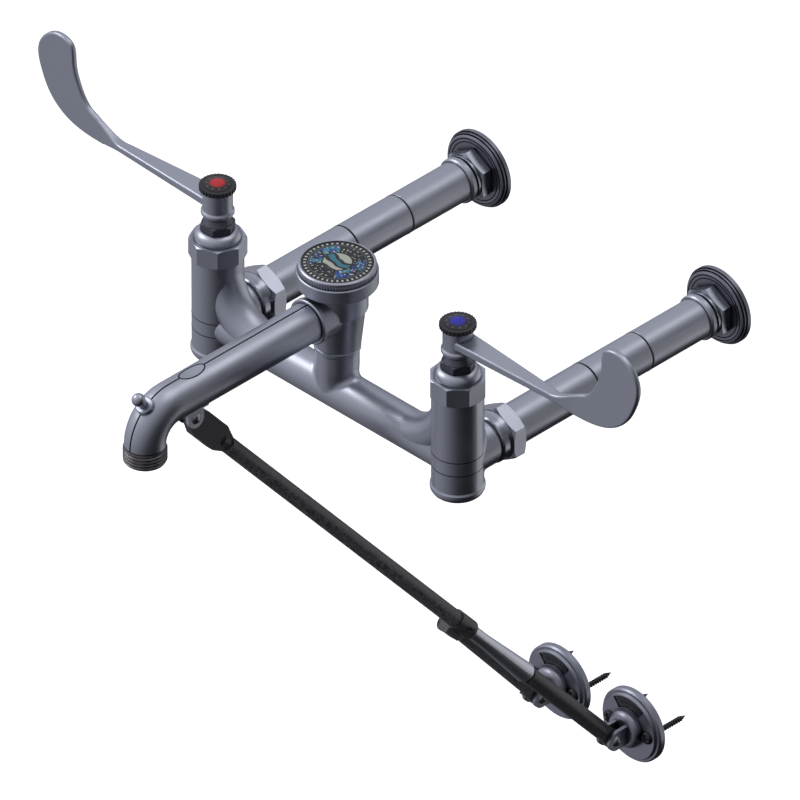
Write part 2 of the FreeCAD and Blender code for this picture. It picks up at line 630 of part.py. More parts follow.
def eye_end(start, towards, axis, eye_r, thickness, flat):
    """Flat eye on a pin axis at start, with a web running towards the rod."""
    line = square_to(axis, start, towards)
    across = axis.cross(line).normalize() * (eye_r * 0.85)
    eye = Part.makeCylinder(eye_r, thickness, start - axis * (thickness / 2), axis)
    corners = [start - across, start + across, start + across + line * flat,
               start - across + line * flat]
    web = Part.Face(Part.makePolygon(corners + corners[:1])).extrude(axis * thickness)
    web.translate(axis * (-thickness / 2))
    return [eye, web]


def stay_rod():
    """Second leg, from the collar down to the left foot, bent a little at both eyes."""
    top = BRACE_FRAME.multVec(STAY_OFFSET)
    foot = FOOT_PINS["left"]
    ends = [top + square_to(LUG_AXIS, top, foot) * 17,
            foot + square_to(X_DIR, foot, top) * EYE_REACH]
    shaft = bar(STAY_R, *ends)
    return shaft.fuse([Part.makeSphere(STAY_R, end) for end in ends]
                      + eye_end(top, foot, LUG_AXIS, 5.5, 3.4, 17)
                      + eye_end(foot, top, X_DIR, 6.0, FOOT_EYE_THICK, EYE_REACH)).cut([
                          pin_hole(STAY_PIN_R + STEM_FIT, top, LUG_AXIS),
                          pin_hole(FOOT_PIN_R + STEM_FIT, foot)])


def brace_rod():
    """Bright sliding rod, swelling to a rounded lower end."""
    return in_brace(turned([(0, 265), (ROD_R - 0.6, 265), (ROD_R, 265.6), (ROD_R, TAPER_START),
                            (BALL_R, TAPER_END), (5.4, TAPER_END + 4.2, MID),
                            (STUD_R, TAPER_END + 5.8), (STUD_R, 380), (0, 380)]))


def brace_foot():
    """Lower end of the brace, screwed into the sliding rod and pinned to the right foot."""
    start = BRACE_FRAME.multVec(V(0, 0, TAPER_END + 5.8))
    foot = FOOT_PINS["right"]
    line = BRACE_FRAME.Rotation.multVec(Z_DIR)
    end = foot + square_to(X_DIR, foot, start) * (EYE_REACH + 2)
    return bar(FOOT_R, start, end).fuse([bar(STUD_R, start - line * 20, start),
                                         Part.makeSphere(FOOT_R, end)]
                                        + eye_end(foot, start, X_DIR, 6.0, FOOT_EYE_THICK,
                                                  EYE_REACH + 2)).cut(
                          pin_hole(FOOT_PIN_R + STEM_FIT, foot))


def brace_flange(pin):
    """Round wall foot with a hub, two ears for the pin and two screw holes."""
    back = V(pin.x, 0, pin.z)
    plate = turned([(0, 0), (FOOT_DISC_R, 0), (FOOT_DISC_R, 3.4), (24, 4.6), (22.6, 4.6),
                    (21.8, FOOT_FACE), (0, FOOT_FACE)], back, -Y_DIR)
    hub = turned([(0, 5), (12.5, 5), (12.5, 9.5), (11, 12, MID), (8, 13), (0, 13)], back, -Y_DIR)
    ears = []
    for side in (-1, 1):
        ear = slab(ear_outline(6.6, FOOT_STANDOFF - 5), EAR_THICK)
        ear.rotate(V(), X_DIR, -90)
        ear.translate(pin + V(side * (EAR_GAP + EAR_THICK / 2), 0, 0))
        ears.append(ear)
    swing_room = Part.makeCylinder(7.2, 2 * EAR_GAP, pin - V(EAR_GAP, 0, 0), X_DIR)
    recess = outline_face([(13.4, 5.6), (21, 5.6), (21, 8), (13.4, 8)]).revolve(V(), Z_DIR, 76)
    recess.Placement = Placement(back, Rotation(Z_DIR, -Y_DIR) * Rotation(Z_DIR, 52))
    screws = [bar(r, at - Y_DIR * near, at - Y_DIR * 20) for at in screw_places(pin)
              for r, near in ((SHANK_R, -1), (SCREW_HEAD_R + 0.3, FOOT_FACE))]
    return plate.fuse([hub] + ears).cut([swing_room, recess, pin_hole(FOOT_PIN_R, pin)] + screws)


def screw_places(pin):
    """Points on the wall where a foot's two screws enter it."""
    return [V(pin.x + side * SCREW_PITCH / 2, 0, pin.z) for side in (-1, 1)]


def foot_pin(pin):
    """Pin through the ears, headed on one side and riveted over on the other."""
    ear = EAR_GAP + EAR_THICK
    return turned([(0, -ear - 3.5), (3.2, -ear - 3.5), (4.1, -ear - 2.6, MID), (4.4, -ear),
                   (FOOT_PIN_R, -ear), (FOOT_PIN_R, ear), (3.6, ear)] + dome(3.6, ear, 2.1),
                  pin, X_DIR)


def wall_screw(at):
    """Pan head wood screw, straight out of the back of the foot."""
    face = -FOOT_FACE
    return turned([(0, face - 2.8), (2.6, face - 2.4), (3.9, face - 1.2, MID),
                   (SCREW_HEAD_R, face),
                   (SHANK_R, face), (SHANK_R, 0), (SCREW_R, 0), (SCREW_R, SCREW_STICK_OUT - 5),
                   (0, SCREW_STICK_OUT)], at, Y_DIR)


save("brace_lug", brace_lug())
save("brace_pin", turned([(0, -8), (3.4, -8), (4.0, -7, MID), (4.2, -EAR_GAP - EAR_THICK),
                          (PIN_R, -EAR_GAP - EAR_THICK), (PIN_R, EAR_GAP + EAR_THICK),
                          (3.4, EAR_GAP + EAR_THICK)] + dome(3.4, EAR_GAP + EAR_THICK, 1.6),
                         BRACE_PIVOT, LUG_AXIS))
save("brace_end", brace_end())
save("brace_tube", in_brace(ring(ROD_R + STEM_FIT, BRACE_R, TUBE_START, TUBE_END)))
save("brace_collar", brace_collar())
save("brace_set_screw", in_brace(placed(turned([(0, 0), (1.2, 0.4), (1.5, 0.8), (1.5, 3.4),
                                                (0, 3.4)]),
                                        V(BRACE_R, 0, COLLAR_AT + 4), X_DIR)))
save("stay_pin", in_brace(placed(turned([(0, 0), (STAY_PIN_R, 0), (STAY_PIN_R, 6.6), (3.6, 6.6)]
                                        + dome(3.6, 6.6, 2)),
                                 STAY_OFFSET + V(4.7, 0, 0), -X_DIR)))
save("brace_rod", brace_rod())
save("brace_foot", brace_foot())
save("stay_rod", stay_rod())
for name, pin in FOOT_PINS.items():
    save(f"brace_flange_{name}", brace_flange(pin))
    save(f"foot_pin_{name}", foot_pin(pin))
    save(f"wall_screws_{name}", *[wall_screw(at) for at in screw_places(pin)])
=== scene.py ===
"""Finishes and fine detail of a wall-mounted service sink faucet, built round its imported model.

Lengths are in metres in the row frame: origin on the finished wall midway between the two
inlets, +Z up, +Y into the wall and +X towards the cold side.
"""
import json
import logging
import math
from collections.abc import Callable, Sequence
from dataclasses import dataclass
from enum import Enum

import bpy
from mathutils import Matrix, Vector


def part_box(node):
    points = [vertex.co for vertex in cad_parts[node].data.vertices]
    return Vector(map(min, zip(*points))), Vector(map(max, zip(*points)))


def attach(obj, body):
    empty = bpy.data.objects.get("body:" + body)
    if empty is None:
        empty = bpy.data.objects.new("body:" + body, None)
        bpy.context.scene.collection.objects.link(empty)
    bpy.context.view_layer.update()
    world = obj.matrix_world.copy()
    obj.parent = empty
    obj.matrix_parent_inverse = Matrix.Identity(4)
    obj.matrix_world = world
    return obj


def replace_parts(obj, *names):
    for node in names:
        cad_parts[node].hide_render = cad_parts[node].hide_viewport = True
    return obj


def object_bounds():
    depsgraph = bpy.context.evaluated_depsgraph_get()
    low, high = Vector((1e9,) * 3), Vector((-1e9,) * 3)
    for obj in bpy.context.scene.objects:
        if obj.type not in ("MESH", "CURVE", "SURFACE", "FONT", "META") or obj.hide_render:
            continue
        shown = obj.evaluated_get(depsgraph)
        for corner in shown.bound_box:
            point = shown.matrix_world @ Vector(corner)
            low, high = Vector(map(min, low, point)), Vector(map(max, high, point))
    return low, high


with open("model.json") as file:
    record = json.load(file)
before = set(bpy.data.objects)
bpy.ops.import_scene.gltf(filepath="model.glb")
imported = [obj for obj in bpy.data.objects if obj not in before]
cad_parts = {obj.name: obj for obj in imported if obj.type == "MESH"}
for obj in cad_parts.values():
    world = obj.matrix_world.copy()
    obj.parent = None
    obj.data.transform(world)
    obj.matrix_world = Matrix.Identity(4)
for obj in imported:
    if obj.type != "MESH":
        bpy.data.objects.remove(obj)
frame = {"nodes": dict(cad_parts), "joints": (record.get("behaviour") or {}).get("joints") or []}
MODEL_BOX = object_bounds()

LOG = logging.getLogger("faucet")
MM = 0.001
SIDES = {"hot": -1, "cold": 1}
FEET = ("right", "left")

Point = tuple[float, float, float]
MeshParts = tuple[list[Point], list[tuple[int, ...]]]
Section = Sequence[tuple[float, float]]

# Sockets of the Mix node when it mixes colours.
MIX_FIRST, MIX_SECOND, MIX_RESULT = 6, 7, 2


# ---------------------------------------------------------------- helpers

def linear(colour: str) -> tuple[float, float, float, float]:
    """Turn an sRGB hex colour into linear RGBA.

    Args:
        colour: Six hex digits with a leading hash.

    Returns:
        Red, green, blue and alpha for a node socket.
    """
    shares = [int(colour[i:i + 2], 16) / 255 for i in (1, 3, 5)]
    r, g, b = (s / 12.92 if s <= 0.04045 else ((s + 0.055) / 1.055) ** 2.4 for s in shares)
    return r, g, b, 1.0


def add(tree: bpy.types.NodeTree, kind: str, inputs: dict | None = None,
        output: int | str = 0, **settings: object) -> bpy.types.NodeSocket:
    """Add one node with its settings and links.

    Args:
        tree: Node tree to add to.
        kind: Blender's name of the node.
        inputs: Value or socket for each input, by name or number.
        output: Output that the caller wants.
        settings: Properties of the node itself.

    Returns:
        The wanted output socket, or the node's only link target for an output node.
    """
    node = tree.nodes.new(kind)
    for name, value in settings.items():
        setattr(node, name, value)
    for key, value in (inputs or {}).items():
        if isinstance(value, bpy.types.NodeSocket):
            tree.links.new(value, node.inputs[key])
        else:
            node.inputs[key].default_value = value
    return node.outputs[output] if node.outputs else node.inputs[0]


def band(tree: bpy.types.NodeTree, value: bpy.types.NodeSocket, low: float, high: float,
         soft: float) -> bpy.types.NodeSocket:
    """Mask of a band of values.

    Args:
        tree: Node tree to add to.
        value: Socket that is tested.
        low: Lowest value inside the band.
        high: Highest value inside the band.
        soft: Width of the fade outside each limit.

    Returns:
        Socket that is 1 inside the band and 0 outside it.
    """
    rise = add(tree, "ShaderNodeMapRange", {"Value": value, "From Min": low - soft,
                                            "From Max": low})
    fall = add(tree, "ShaderNodeMapRange", {"Value": value, "From Min": high,
                                            "From Max": high + soft, "To Min": 1.0, "To Max": 0.0})
    return add(tree, "ShaderNodeMath", {0: rise, 1: fall}, operation="MULTIPLY")


def centre_of(node: str) -> Vector:
    """Middle of a node's box at rest."""
    low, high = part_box(node)
    return (low + high) / 2


def joint(name: str) -> dict:
    """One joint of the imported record, by name."""
    return next(j for j in frame["joints"] if j["name"] == name)


# ---------------------------------------------------------------- finishes

# Share of open sky at which the painted shade in joints starts to clear and is gone.
SHADE_SKY_SHARE, UNSHADED_SKY_SHARE = 0.4, 0.78
# Cosine between the plain and the rounded normal where wear on an edge starts and is full.
EDGE_START, EDGE_FULL = 0.99, 0.86
# Levels that a noise's values mostly lie between.
NOISE_LOW, NOISE_HIGH = 0.3, 0.7
MASK_SAMPLES, ROUNDING_SAMPLES = 6, 4

Band = tuple[float, float, float]


class Grain(Enum):
    """How the last tool left a metal surface."""

    CAST = "blasted casting"
    TURNED = "turned on a lathe"
    DRAWN = "ground lengthways"


@dataclass(frozen=True)
class Lay:
    """Axis that a finish's marks follow.

    Paired parts stand at the same distance on both sides of X = 0 and share one lay.
    """

    origin: Point = (0.0, 0.0, 0.0)
    axis: Point = (0.0, 0.0, 1.0)
    paired: bool = False

    def coordinates(self, tree: bpy.types.NodeTree) -> bpy.types.NodeSocket:
        """Point on the surface, measured from the origin with Z along the axis.

        Args:
            tree: Node tree to add to.

        Returns:
            Vector socket in metres.
        """
        point = add(tree, "ShaderNodeTexCoord", output="Object")
        if self.paired:
            parts = add(tree, "ShaderNodeSeparateXYZ", {"Vector": point}).node.outputs
            across = add(tree, "ShaderNodeMath", {0: parts["X"]}, operation="ABSOLUTE")
            point = add(tree, "ShaderNodeCombineXYZ", {"X": across, "Y": parts["Y"],
                                                       "Z": parts["Z"]})
        turn = Vector((0, 0, 1)).rotation_difference(Vector(self.axis)).to_euler()
        return add(tree, "ShaderNodeMapping", {"Vector": point, "Location": self.origin,
                                               "Rotation": turn}, vector_type="TEXTURE")


@dataclass(frozen=True)
class Finish:
    """A real material with the way its surface was made."""

    name: str
    lay: Lay = Lay()

    def surface(self, tree: bpy.types.NodeTree, point: bpy.types.NodeSocket) -> dict:
        """Inputs of the finish's surface shader, by name."""
        raise NotImplementedError

    def material(self) -> bpy.types.Material:
        """The finish as a Blender material, made once.

        Returns:
            The material, the same one each time.
        """
        known = bpy.data.materials.get(self.name)
        if known:
            return known
        made = bpy.data.materials.new(self.name)
        made.use_nodes = True
        tree = made.node_tree
        tree.nodes.clear()
        shader = add(tree, "ShaderNodeBsdfPrincipled",
                     self.surface(tree, self.lay.coordinates(tree)))
        add(tree, "ShaderNodeOutputMaterial", {"Surface": shader})
        return made

    def dress(self, *nodes: str) -> None:
        """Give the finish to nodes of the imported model.

        Args:
            nodes: Names of the nodes.
        """
        for node in nodes:
            mesh = frame["nodes"][node].data
            mesh.materials.clear()
            mesh.materials.append(self.material())
            LOG.info("%s: %s", node, self.name)

    def unshaded_share(self, tree: bpy.types.NodeTree, reach: float) -> bpy.types.NodeSocket:
        """Mask of open surface for painted shade, falling to 0 in joints and inside corners.

        Args:
            tree: Node tree to add to.
            reach: How far from a joint the painted shade lies.

        Returns:
            Socket from 0 in a joint to 1 in the open.
        """
        openness = add(tree, "ShaderNodeAmbientOcclusion", {"Distance": reach}, output="AO",
                       samples=MASK_SAMPLES)
        return add(tree, "ShaderNodeMapRange", {"Value": openness, "From Min": SHADE_SKY_SHARE,
                                                "From Max": UNSHADED_SKY_SHARE})

    def edge_share(self, tree: bpy.types.NodeTree, radius: float) -> bpy.types.NodeSocket:
        """Mask of outside edges, where handling wears a coat.

        Args:
            tree: Node tree to add to.
            radius: Width of the worn strip.

        Returns:
            Socket from 0 on flats to 1 on edges.
        """
        rounded = add(tree, "ShaderNodeBevel", {"Radius": radius}, samples=MASK_SAMPLES)
        plain = add(tree, "ShaderNodeNewGeometry", output="Normal")
        match = add(tree, "ShaderNodeVectorMath", {0: rounded, 1: plain}, output="Value",
                    operation="DOT_PRODUCT")
        return add(tree, "ShaderNodeMapRange", {"Value": match, "From Min": EDGE_START,
                                                "From Max": EDGE_FULL})


@dataclass(frozen=True)
class ChromePlate(Finish):
    """Nickel and chrome plate: a cool grey mirror, softened by the grain left under it, with
    painted shade in its joints.
    """

    grain: Grain = Grain.CAST
    colour: str = "#B2B5C0"
    smoothest: float = 0.33
    roughest: float = 0.45
    # How far out of joints and inside corners the painted shade reaches.
    shade_reach: float = 3.0 * MM
    mark_spacing: float = 1.1 * MM   # coarser than real tool marks, so that they show
    mark_depth: float = 0.02 * MM
    edge_radius: float = 0.3 * MM
    drawn_stretch: float = 0.03      # how slowly drawn marks change along the axis
    patch_size: float = 38 * MM      # of the patches that hands leave
    patch_levels: tuple[float, float] = (0.45, 0.9)
    mark_share: float = 0.35         # of the marks in the roughness
    mark_strength: float = 0.5
    # Colour of the shade painted into joints and inside corners.
    shade_colour: str = "#121216"

    def marks_at(self, tree: bpy.types.NodeTree,
                 point: bpy.types.NodeSocket) -> bpy.types.NodeSocket:
        """Point that the grain's noise reads, so that its marks run the right way.

        Args:
            tree: Node tree to add to.
            point: Surface point in the finish's own coordinates.

        Returns:
            Vector socket in metres.
        """
        if self.grain is Grain.TURNED:
            parts = add(tree, "ShaderNodeSeparateXYZ", {"Vector": point}).node.outputs
            flat = add(tree, "ShaderNodeCombineXYZ", {"X": parts["X"], "Y": parts["Y"]})
            radius = add(tree, "ShaderNodeVectorMath", {0: flat}, output="Value",
                         operation="LENGTH")
            return add(tree, "ShaderNodeCombineXYZ", {"X": radius, "Z": parts["Z"]})
        if self.grain is Grain.DRAWN:
            return add(tree, "ShaderNodeVectorMath", {0: point,
                                                      1: (1.0, 1.0, self.drawn_stretch)},
                       operation="MULTIPLY")
        return point

    def surface(self, tree: bpy.types.NodeTree, point: bpy.types.NodeSocket) -> dict:
        """Inputs of the plate's shader: grain, faint handling marks and painted shade in the
        joints.

        Args:
            tree: Node tree to add to.
            point: Surface point in the finish's own coordinates.

        Returns:
            Values and sockets for the shader, by input name.
        """
        marks = add(tree, "ShaderNodeTexNoise", {"Vector": self.marks_at(tree, point),
                                                 "Scale": 1 / self.mark_spacing, "Detail": 2.0})
        patches = add(tree, "ShaderNodeTexNoise", {"Vector": point, "Scale": 1 / self.patch_size,
                                                   "Detail": 3.0})
        both = add(tree, "ShaderNodeMath", {0: marks, 1: self.mark_share, 2: patches},
                   operation="MULTIPLY_ADD")
        low, high = self.patch_levels
        roughness = add(tree, "ShaderNodeMapRange", {"Value": both, "From Min": low,
                                                     "From Max": high, "To Min": self.smoothest,
                                                     "To Max": self.roughest})
        # Painted shade: near black in joints and inside corners, the plate's own colour in the
        # open.
        unshaded = self.unshaded_share(tree, self.shade_reach)
        base = add(tree, "ShaderNodeMix", {0: unshaded, MIX_FIRST: linear(self.shade_colour),
                                           MIX_SECOND: linear(self.colour)},
                   MIX_RESULT, data_type="RGBA")
        rounded = add(tree, "ShaderNodeBevel", {"Radius": self.edge_radius},
                      samples=ROUNDING_SAMPLES)
        normal = add(tree, "ShaderNodeBump", {"Height": marks, "Strength": self.mark_strength,
                                              "Distance": self.mark_depth, "Normal": rounded})
        return {"Base Color": base, "Metallic": 1.0, "Roughness": roughness, "Normal": normal}


@dataclass(frozen=True)
class PowderCoat(Finish):
    """Baked powder coat: small pale flecks in near black, with a pebbled skin."""

    ground: str = "#17171A"
    fleck: str = "#626266"
    fleck_size: float = 1.5 * MM     # coarser than real powder, so that it shows
    fleck_share: float = 0.5
    roughness: float = 0.46
    roughness_swing: float = 0.08
    bare: str = "#8E8E94"            # steel where the coat has chipped
    edge_width: float = 0.35 * MM
    pebble_depth: float = 0.12 * MM
    pebble_strength: float = 0.6
    fleck_levels: tuple[float, float] = (0.42, 0.72)
    chip_levels: tuple[float, float] = (0.5, 0.62)

    def surface(self, tree: bpy.types.NodeTree, point: bpy.types.NodeSocket) -> dict:
        """Inputs of the coat's shader: flecks, pebbles and bare steel on the edges.

        Args:
            tree: Node tree to add to.
            point: Surface point in the finish's own coordinates.

        Returns:
            Values and sockets for the shader, by input name.
        """
        flecks = add(tree, "ShaderNodeTexNoise", {"Vector": point, "Scale": 1 / self.fleck_size,
                                                  "Detail": 4.0, "Roughness": 0.7})
        low, high = self.fleck_levels
        share = add(tree, "ShaderNodeMapRange", {"Value": flecks, "From Min": low,
                                                 "From Max": high, "To Max": self.fleck_share})
        coat = add(tree, "ShaderNodeMix", {0: share, MIX_FIRST: linear(self.ground),
                                           MIX_SECOND: linear(self.fleck)},
                   MIX_RESULT, data_type="RGBA")
        worn = self.edge_share(tree, self.edge_width)
        low, high = self.chip_levels
        chips = add(tree, "ShaderNodeMapRange", {"Value": flecks, "From Min": low,
                                                 "From Max": high})
        bare = add(tree, "ShaderNodeMath", {0: worn, 1: chips}, operation="MULTIPLY")
        base = add(tree, "ShaderNodeMix", {0: bare, MIX_FIRST: coat,
                                           MIX_SECOND: linear(self.bare)},
                   MIX_RESULT, data_type="RGBA")
        normal = add(tree, "ShaderNodeBump", {"Height": flecks, "Strength": self.pebble_strength,
                                              "Distance": self.pebble_depth})
        roughness = add(tree, "ShaderNodeMapRange",
                        {"Value": flecks, "From Min": NOISE_LOW, "From Max": NOISE_HIGH,
                         "To Min": self.roughness - self.roughness_swing,
                         "To Max": self.roughness + self.roughness_swing})
        return {"Base Color": base, "Metallic": 0.0, "Roughness": roughness, "IOR": 1.5,
                "Normal": normal}


@dataclass(frozen=True)
class BareMetal(Finish):
    """Machined metal with no plate, such as brass, steel or phosphated screw wire."""

    colour: str = "#B9935A"
    roughness: float = 0.34
    polish: float = 0.08             # roughness lost where it is rubbed
    dullness: float = 0.12           # and gained where it is tarnished
    tarnish_size: float = 6 * MM
    tarnish_value: float = 0.62
    tarnish_saturation: float = 0.9
    edge_radius: float = 0.2 * MM

    def surface(self, tree: bpy.types.NodeTree, point: bpy.types.NodeSocket) -> dict:
        """Inputs of the metal's shader: faint tarnish and tool marks.

        Args:
            tree: Node tree to add to.
            point: Surface point in the finish's own coordinates.

        Returns:
            Values and sockets for the shader, by input name.
        """
        tarnish = add(tree, "ShaderNodeTexNoise", {"Vector": point,
                                                   "Scale": 1 / self.tarnish_size, "Detail": 4.0})
        dull = add(tree, "ShaderNodeHueSaturation", {"Value": self.tarnish_value,
                                                     "Saturation": self.tarnish_saturation,
                                                     "Color": linear(self.colour)})
        base = add(tree, "ShaderNodeMix", {0: tarnish, MIX_FIRST: linear(self.colour),
                                           MIX_SECOND: dull}, MIX_RESULT, data_type="RGBA")
        roughness = add(tree, "ShaderNodeMapRange", {"Value": tarnish,
                                                     "To Min": self.roughness - self.polish,
                                                     "To Max": self.roughness + self.dullness})
        normal = add(tree, "ShaderNodeBevel", {"Radius": self.edge_radius},
                     samples=ROUNDING_SAMPLES)
        return {"Base Color": base, "Metallic": 1.0, "Roughness": roughness, "Normal": normal}


@dataclass(frozen=True)
class Moulding(Finish):
    """Moulded rubber, plastic or pressed ceramic: even colour with a fine skin."""

    colour: str = "#17171A"
    roughness: float = 0.5
    ior: float = 1.5
    grit: float = 0.9 * MM           # coarser than a real mould's texture, so that it shows
    skin_depth: float = 0.03 * MM
    skin_strength: float = 0.3
    roughness_swing: float = 0.1
    edge_width: float = 0.25 * MM
    rubbed_value: float = 1.9
    rubbed_saturation: float = 0.7

    def surface(self, tree: bpy.types.NodeTree, point: bpy.types.NodeSocket) -> dict:
        """Inputs of the moulding's shader: a matt skin with pale rubbed edges.

        Args:
            tree: Node tree to add to.
            point: Surface point in the finish's own coordinates.

        Returns:
            Values and sockets for the shader, by input name.
        """
        skin = add(tree, "ShaderNodeTexNoise", {"Vector": point, "Scale": 1 / self.grit,
                                                "Detail": 3.0})
        rubbed = self.edge_share(tree, self.edge_width)
        pale = add(tree, "ShaderNodeHueSaturation", {"Value": self.rubbed_value,
                                                     "Saturation": self.rubbed_saturation,
                                                     "Color": linear(self.colour)})
        amount = add(tree, "ShaderNodeMath", {0: rubbed, 1: skin}, operation="MULTIPLY")
        base = add(tree, "ShaderNodeMix", {0: amount, MIX_FIRST: linear(self.colour),
                                           MIX_SECOND: pale}, MIX_RESULT, data_type="RGBA")
        roughness = add(tree, "ShaderNodeMapRange",
                        {"Value": skin, "To Min": self.roughness - self.roughness_swing,
                         "To Max": self.roughness + self.roughness_swing})
        normal = add(tree, "ShaderNodeBump", {"Height": skin, "Strength": self.skin_strength,
                                              "Distance": self.skin_depth})
        return {"Base Color": base, "Metallic": 0.0, "Roughness": roughness, "IOR": self.ior,
                "Normal": normal}


# Rise of the cosine over which a dash fades in.
DASH_FADE = 0.15
# Roughness of cured resin and lacquer, from its clearest to its cloudiest.
GLOSS_LOW, GLOSS_HIGH = 0.3, 0.42


@dataclass(frozen=True)
class PolarFinish(Finish):
    """A round printed or moulded face, patterned by radius and angle about its lay."""

    def polar(self, tree: bpy.types.NodeTree, point: bpy.types.NodeSocket
              ) -> tuple[bpy.types.NodeSocket, bpy.types.NodeSocket]:
        """Radius and angle of the surface point.

        Args:
            tree: Node tree to add to.
            point: Surface point in the finish's own coordinates.

        Returns:
            Sockets for the radius in metres and the angle in radians.
        """
        parts = add(tree, "ShaderNodeSeparateXYZ", {"Vector": point}).node.outputs
        flat = add(tree, "ShaderNodeCombineXYZ", {"X": parts["X"], "Y": parts["Y"]})
        radius = add(tree, "ShaderNodeVectorMath", {0: flat}, output="Value", operation="LENGTH")
        angle = add(tree, "ShaderNodeMath", {0: parts["Y"], 1: parts["X"]}, operation="ARCTAN2")
        return radius, angle

    def dashes(self, tree: bpy.types.NodeTree, angle: bpy.types.NodeSocket, count: int,
               gap: float) -> bpy.types.NodeSocket:
        """Mask of evenly spaced dashes round the face.

        Args:
            tree: Node tree to add to.
            angle: Angle of the surface point.
            count: Dashes in a full turn.
            gap: From -1 for no gaps to 1 for no dashes.

        Returns:
            Socket that is 1 on a dash.
        """
        phase = add(tree, "ShaderNodeMath", {0: angle, 1: float(count)}, operation="MULTIPLY")
        wave = add(tree, "ShaderNodeMath", {0: phase}, operation="COSINE")
        return add(tree, "ShaderNodeMapRange", {"Value": wave, "From Min": gap,
                                                "From Max": gap + DASH_FADE})

    def layered(self, tree: bpy.types.NodeTree, ground: str,
                layers: Sequence[tuple[Sequence[bpy.types.NodeSocket], str]]
                ) -> bpy.types.NodeSocket:
        """Colour of inks printed one over another.

        Args:
            tree: Node tree to add to.
            ground: Colour under all the inks.
            layers: For each ink the masks that it needs and its colour.

        Returns:
            Colour socket.
        """
        colour = linear(ground)
        for masks, ink in layers:
            mask = masks[0]
            for other in masks[1:]:
                mask = add(tree, "ShaderNodeMath", {0: mask, 1: other}, operation="MULTIPLY")
            colour = add(tree, "ShaderNodeMix", {0: mask, MIX_FIRST: colour,
                                                 MIX_SECOND: linear(ink)},
                         MIX_RESULT, data_type="RGBA")
        return colour


@dataclass(frozen=True)
class IndexEnamel(PolarFinish):
    """Glossy cast resin in an index button: a bright middle in a dark ring with dashes."""

    colour: str = "#C01018"
    rim: str = "#1A0506"
    tick: str = "#6A6A70"
    rim_band: Band = (5.6 * MM, 9.0 * MM, 2.2 * MM)
    tick_band: Band = (6.3 * MM, 7.1 * MM, 0.3 * MM)
    ticks: int = 10
    tick_gap: float = 0.8
    cloud_size: float = 2 * MM

    def surface(self, tree: bpy.types.NodeTree, point: bpy.types.NodeSocket) -> dict:
        """Inputs of the resin's shader.

        Args:
            tree: Node tree to add to.
            point: Surface point in the finish's own coordinates.

        Returns:
            Values and sockets for the shader, by input name.
        """
        radius, angle = self.polar(tree, point)
        ring = band(tree, radius, *self.rim_band)
        ticks = band(tree, radius, *self.tick_band)
        dashes = self.dashes(tree, angle, self.ticks, self.tick_gap)
        base = self.layered(tree, self.colour, [([ring], self.rim), ([ticks, dashes], self.tick)])
        clouds = add(tree, "ShaderNodeTexNoise", {"Vector": point, "Scale": 1 / self.cloud_size})
        roughness = add(tree, "ShaderNodeMapRange", {"Value": clouds, "To Min": GLOSS_LOW,
                                                     "To Max": GLOSS_HIGH})
        return {"Base Color": base, "Metallic": 0.0, "Roughness": roughness, "IOR": 1.49,
                "Coat Weight": 0.15, "Coat Roughness": 0.25}


@dataclass(frozen=True)
class PrintedDisc(PolarFinish):
    """Screen-printed metal disc under lacquer: waves in the middle, arcs and ticks round it."""

    ground: str = "#07080C"
    wave_length: float = 34 * MM
    crest_band: Band = (0.7, 1.0, 0.06)       # of the wave's height
    trough_band: Band = (0.0, 0.14, 0.06)
    middle_band: Band = (0.0, 8.6 * MM, 0.2 * MM)
    arc_band: Band = (9.8 * MM, 16.6 * MM, 0.2 * MM)
    ring_band: Band = (17.4 * MM, 17.8 * MM, 0.1 * MM)
    tick_band: Band = (18.9 * MM, 20.3 * MM, 0.2 * MM)
    # Size of each ink's blots, and the level of the noise where they start.
    blots: tuple[tuple[float, float], ...] = ((5.4 * MM, 0.5), (3.1 * MM, 0.55), (1.7 * MM, 0.6))
    blot_fade: float = 0.04
    arc_rows: tuple[int, float] = (30, -0.35)  # dashes in a turn, and their gap
    arc_sides: tuple[int, float] = (2, -0.3)
    ticks: tuple[int, float] = (40, 0.35)

    def surface(self, tree: bpy.types.NodeTree, point: bpy.types.NodeSocket) -> dict:
        """Inputs of the disc's shader.

        Args:
            tree: Node tree to add to.
            point: Surface point in the finish's own coordinates.

        Returns:
            Values and sockets for the shader, by input name.
        """
        radius, angle = self.polar(tree, point)
        waves = add(tree, "ShaderNodeTexWave", {"Vector": point, "Scale": 1 / self.wave_length,
                                                "Distortion": 5.0, "Detail": 2.0,
                                                "Detail Scale": 1.6}, output="Fac",
                    bands_direction="Y", wave_profile="SIN")
        inks = [add(tree, "ShaderNodeTexNoise", {"Vector": point, "Scale": 1 / size,
                                                 "Detail": 1.0}) for size, _ in self.blots]
        teal, deep, specks = (add(tree, "ShaderNodeMapRange",
                                  {"Value": ink, "From Min": start,
                                   "From Max": start + self.blot_fade})
                              for ink, (_, start) in zip(inks, self.blots))
        middle = band(tree, radius, *self.middle_band)
        crest = band(tree, waves, *self.crest_band)
        trough = band(tree, waves, *self.trough_band)
        arcs = band(tree, radius, *self.arc_band)
        rows = self.dashes(tree, angle, *self.arc_rows)
        ring = band(tree, radius, *self.ring_band)
        ticks = band(tree, radius, *self.tick_band)
        sides = self.dashes(tree, angle, *self.arc_sides)
        marks = self.dashes(tree, angle, *self.ticks)
        base = self.layered(tree, self.ground, [([middle, crest], "#AEB2A4"),
                                                ([middle, trough], "#2C7384"),
                                                ([arcs, sides, teal], "#2F7F93"),
                                                ([arcs, sides, deep], "#1C3F8E"),
                                                ([arcs, rows, specks], "#C9CABE"),
                                                ([ring], "#5D6468"),
                                                ([ticks, marks], "#C6C7BE")])
        roughness = add(tree, "ShaderNodeMapRange", {"Value": inks[0], "To Min": GLOSS_LOW,
                                                     "To Max": GLOSS_HIGH})
        return {"Base Color": base, "Metallic": 0.0, "Roughness": roughness, "IOR": 1.5,
                "Coat Weight": 0.15, "Coat Roughness": 0.2}


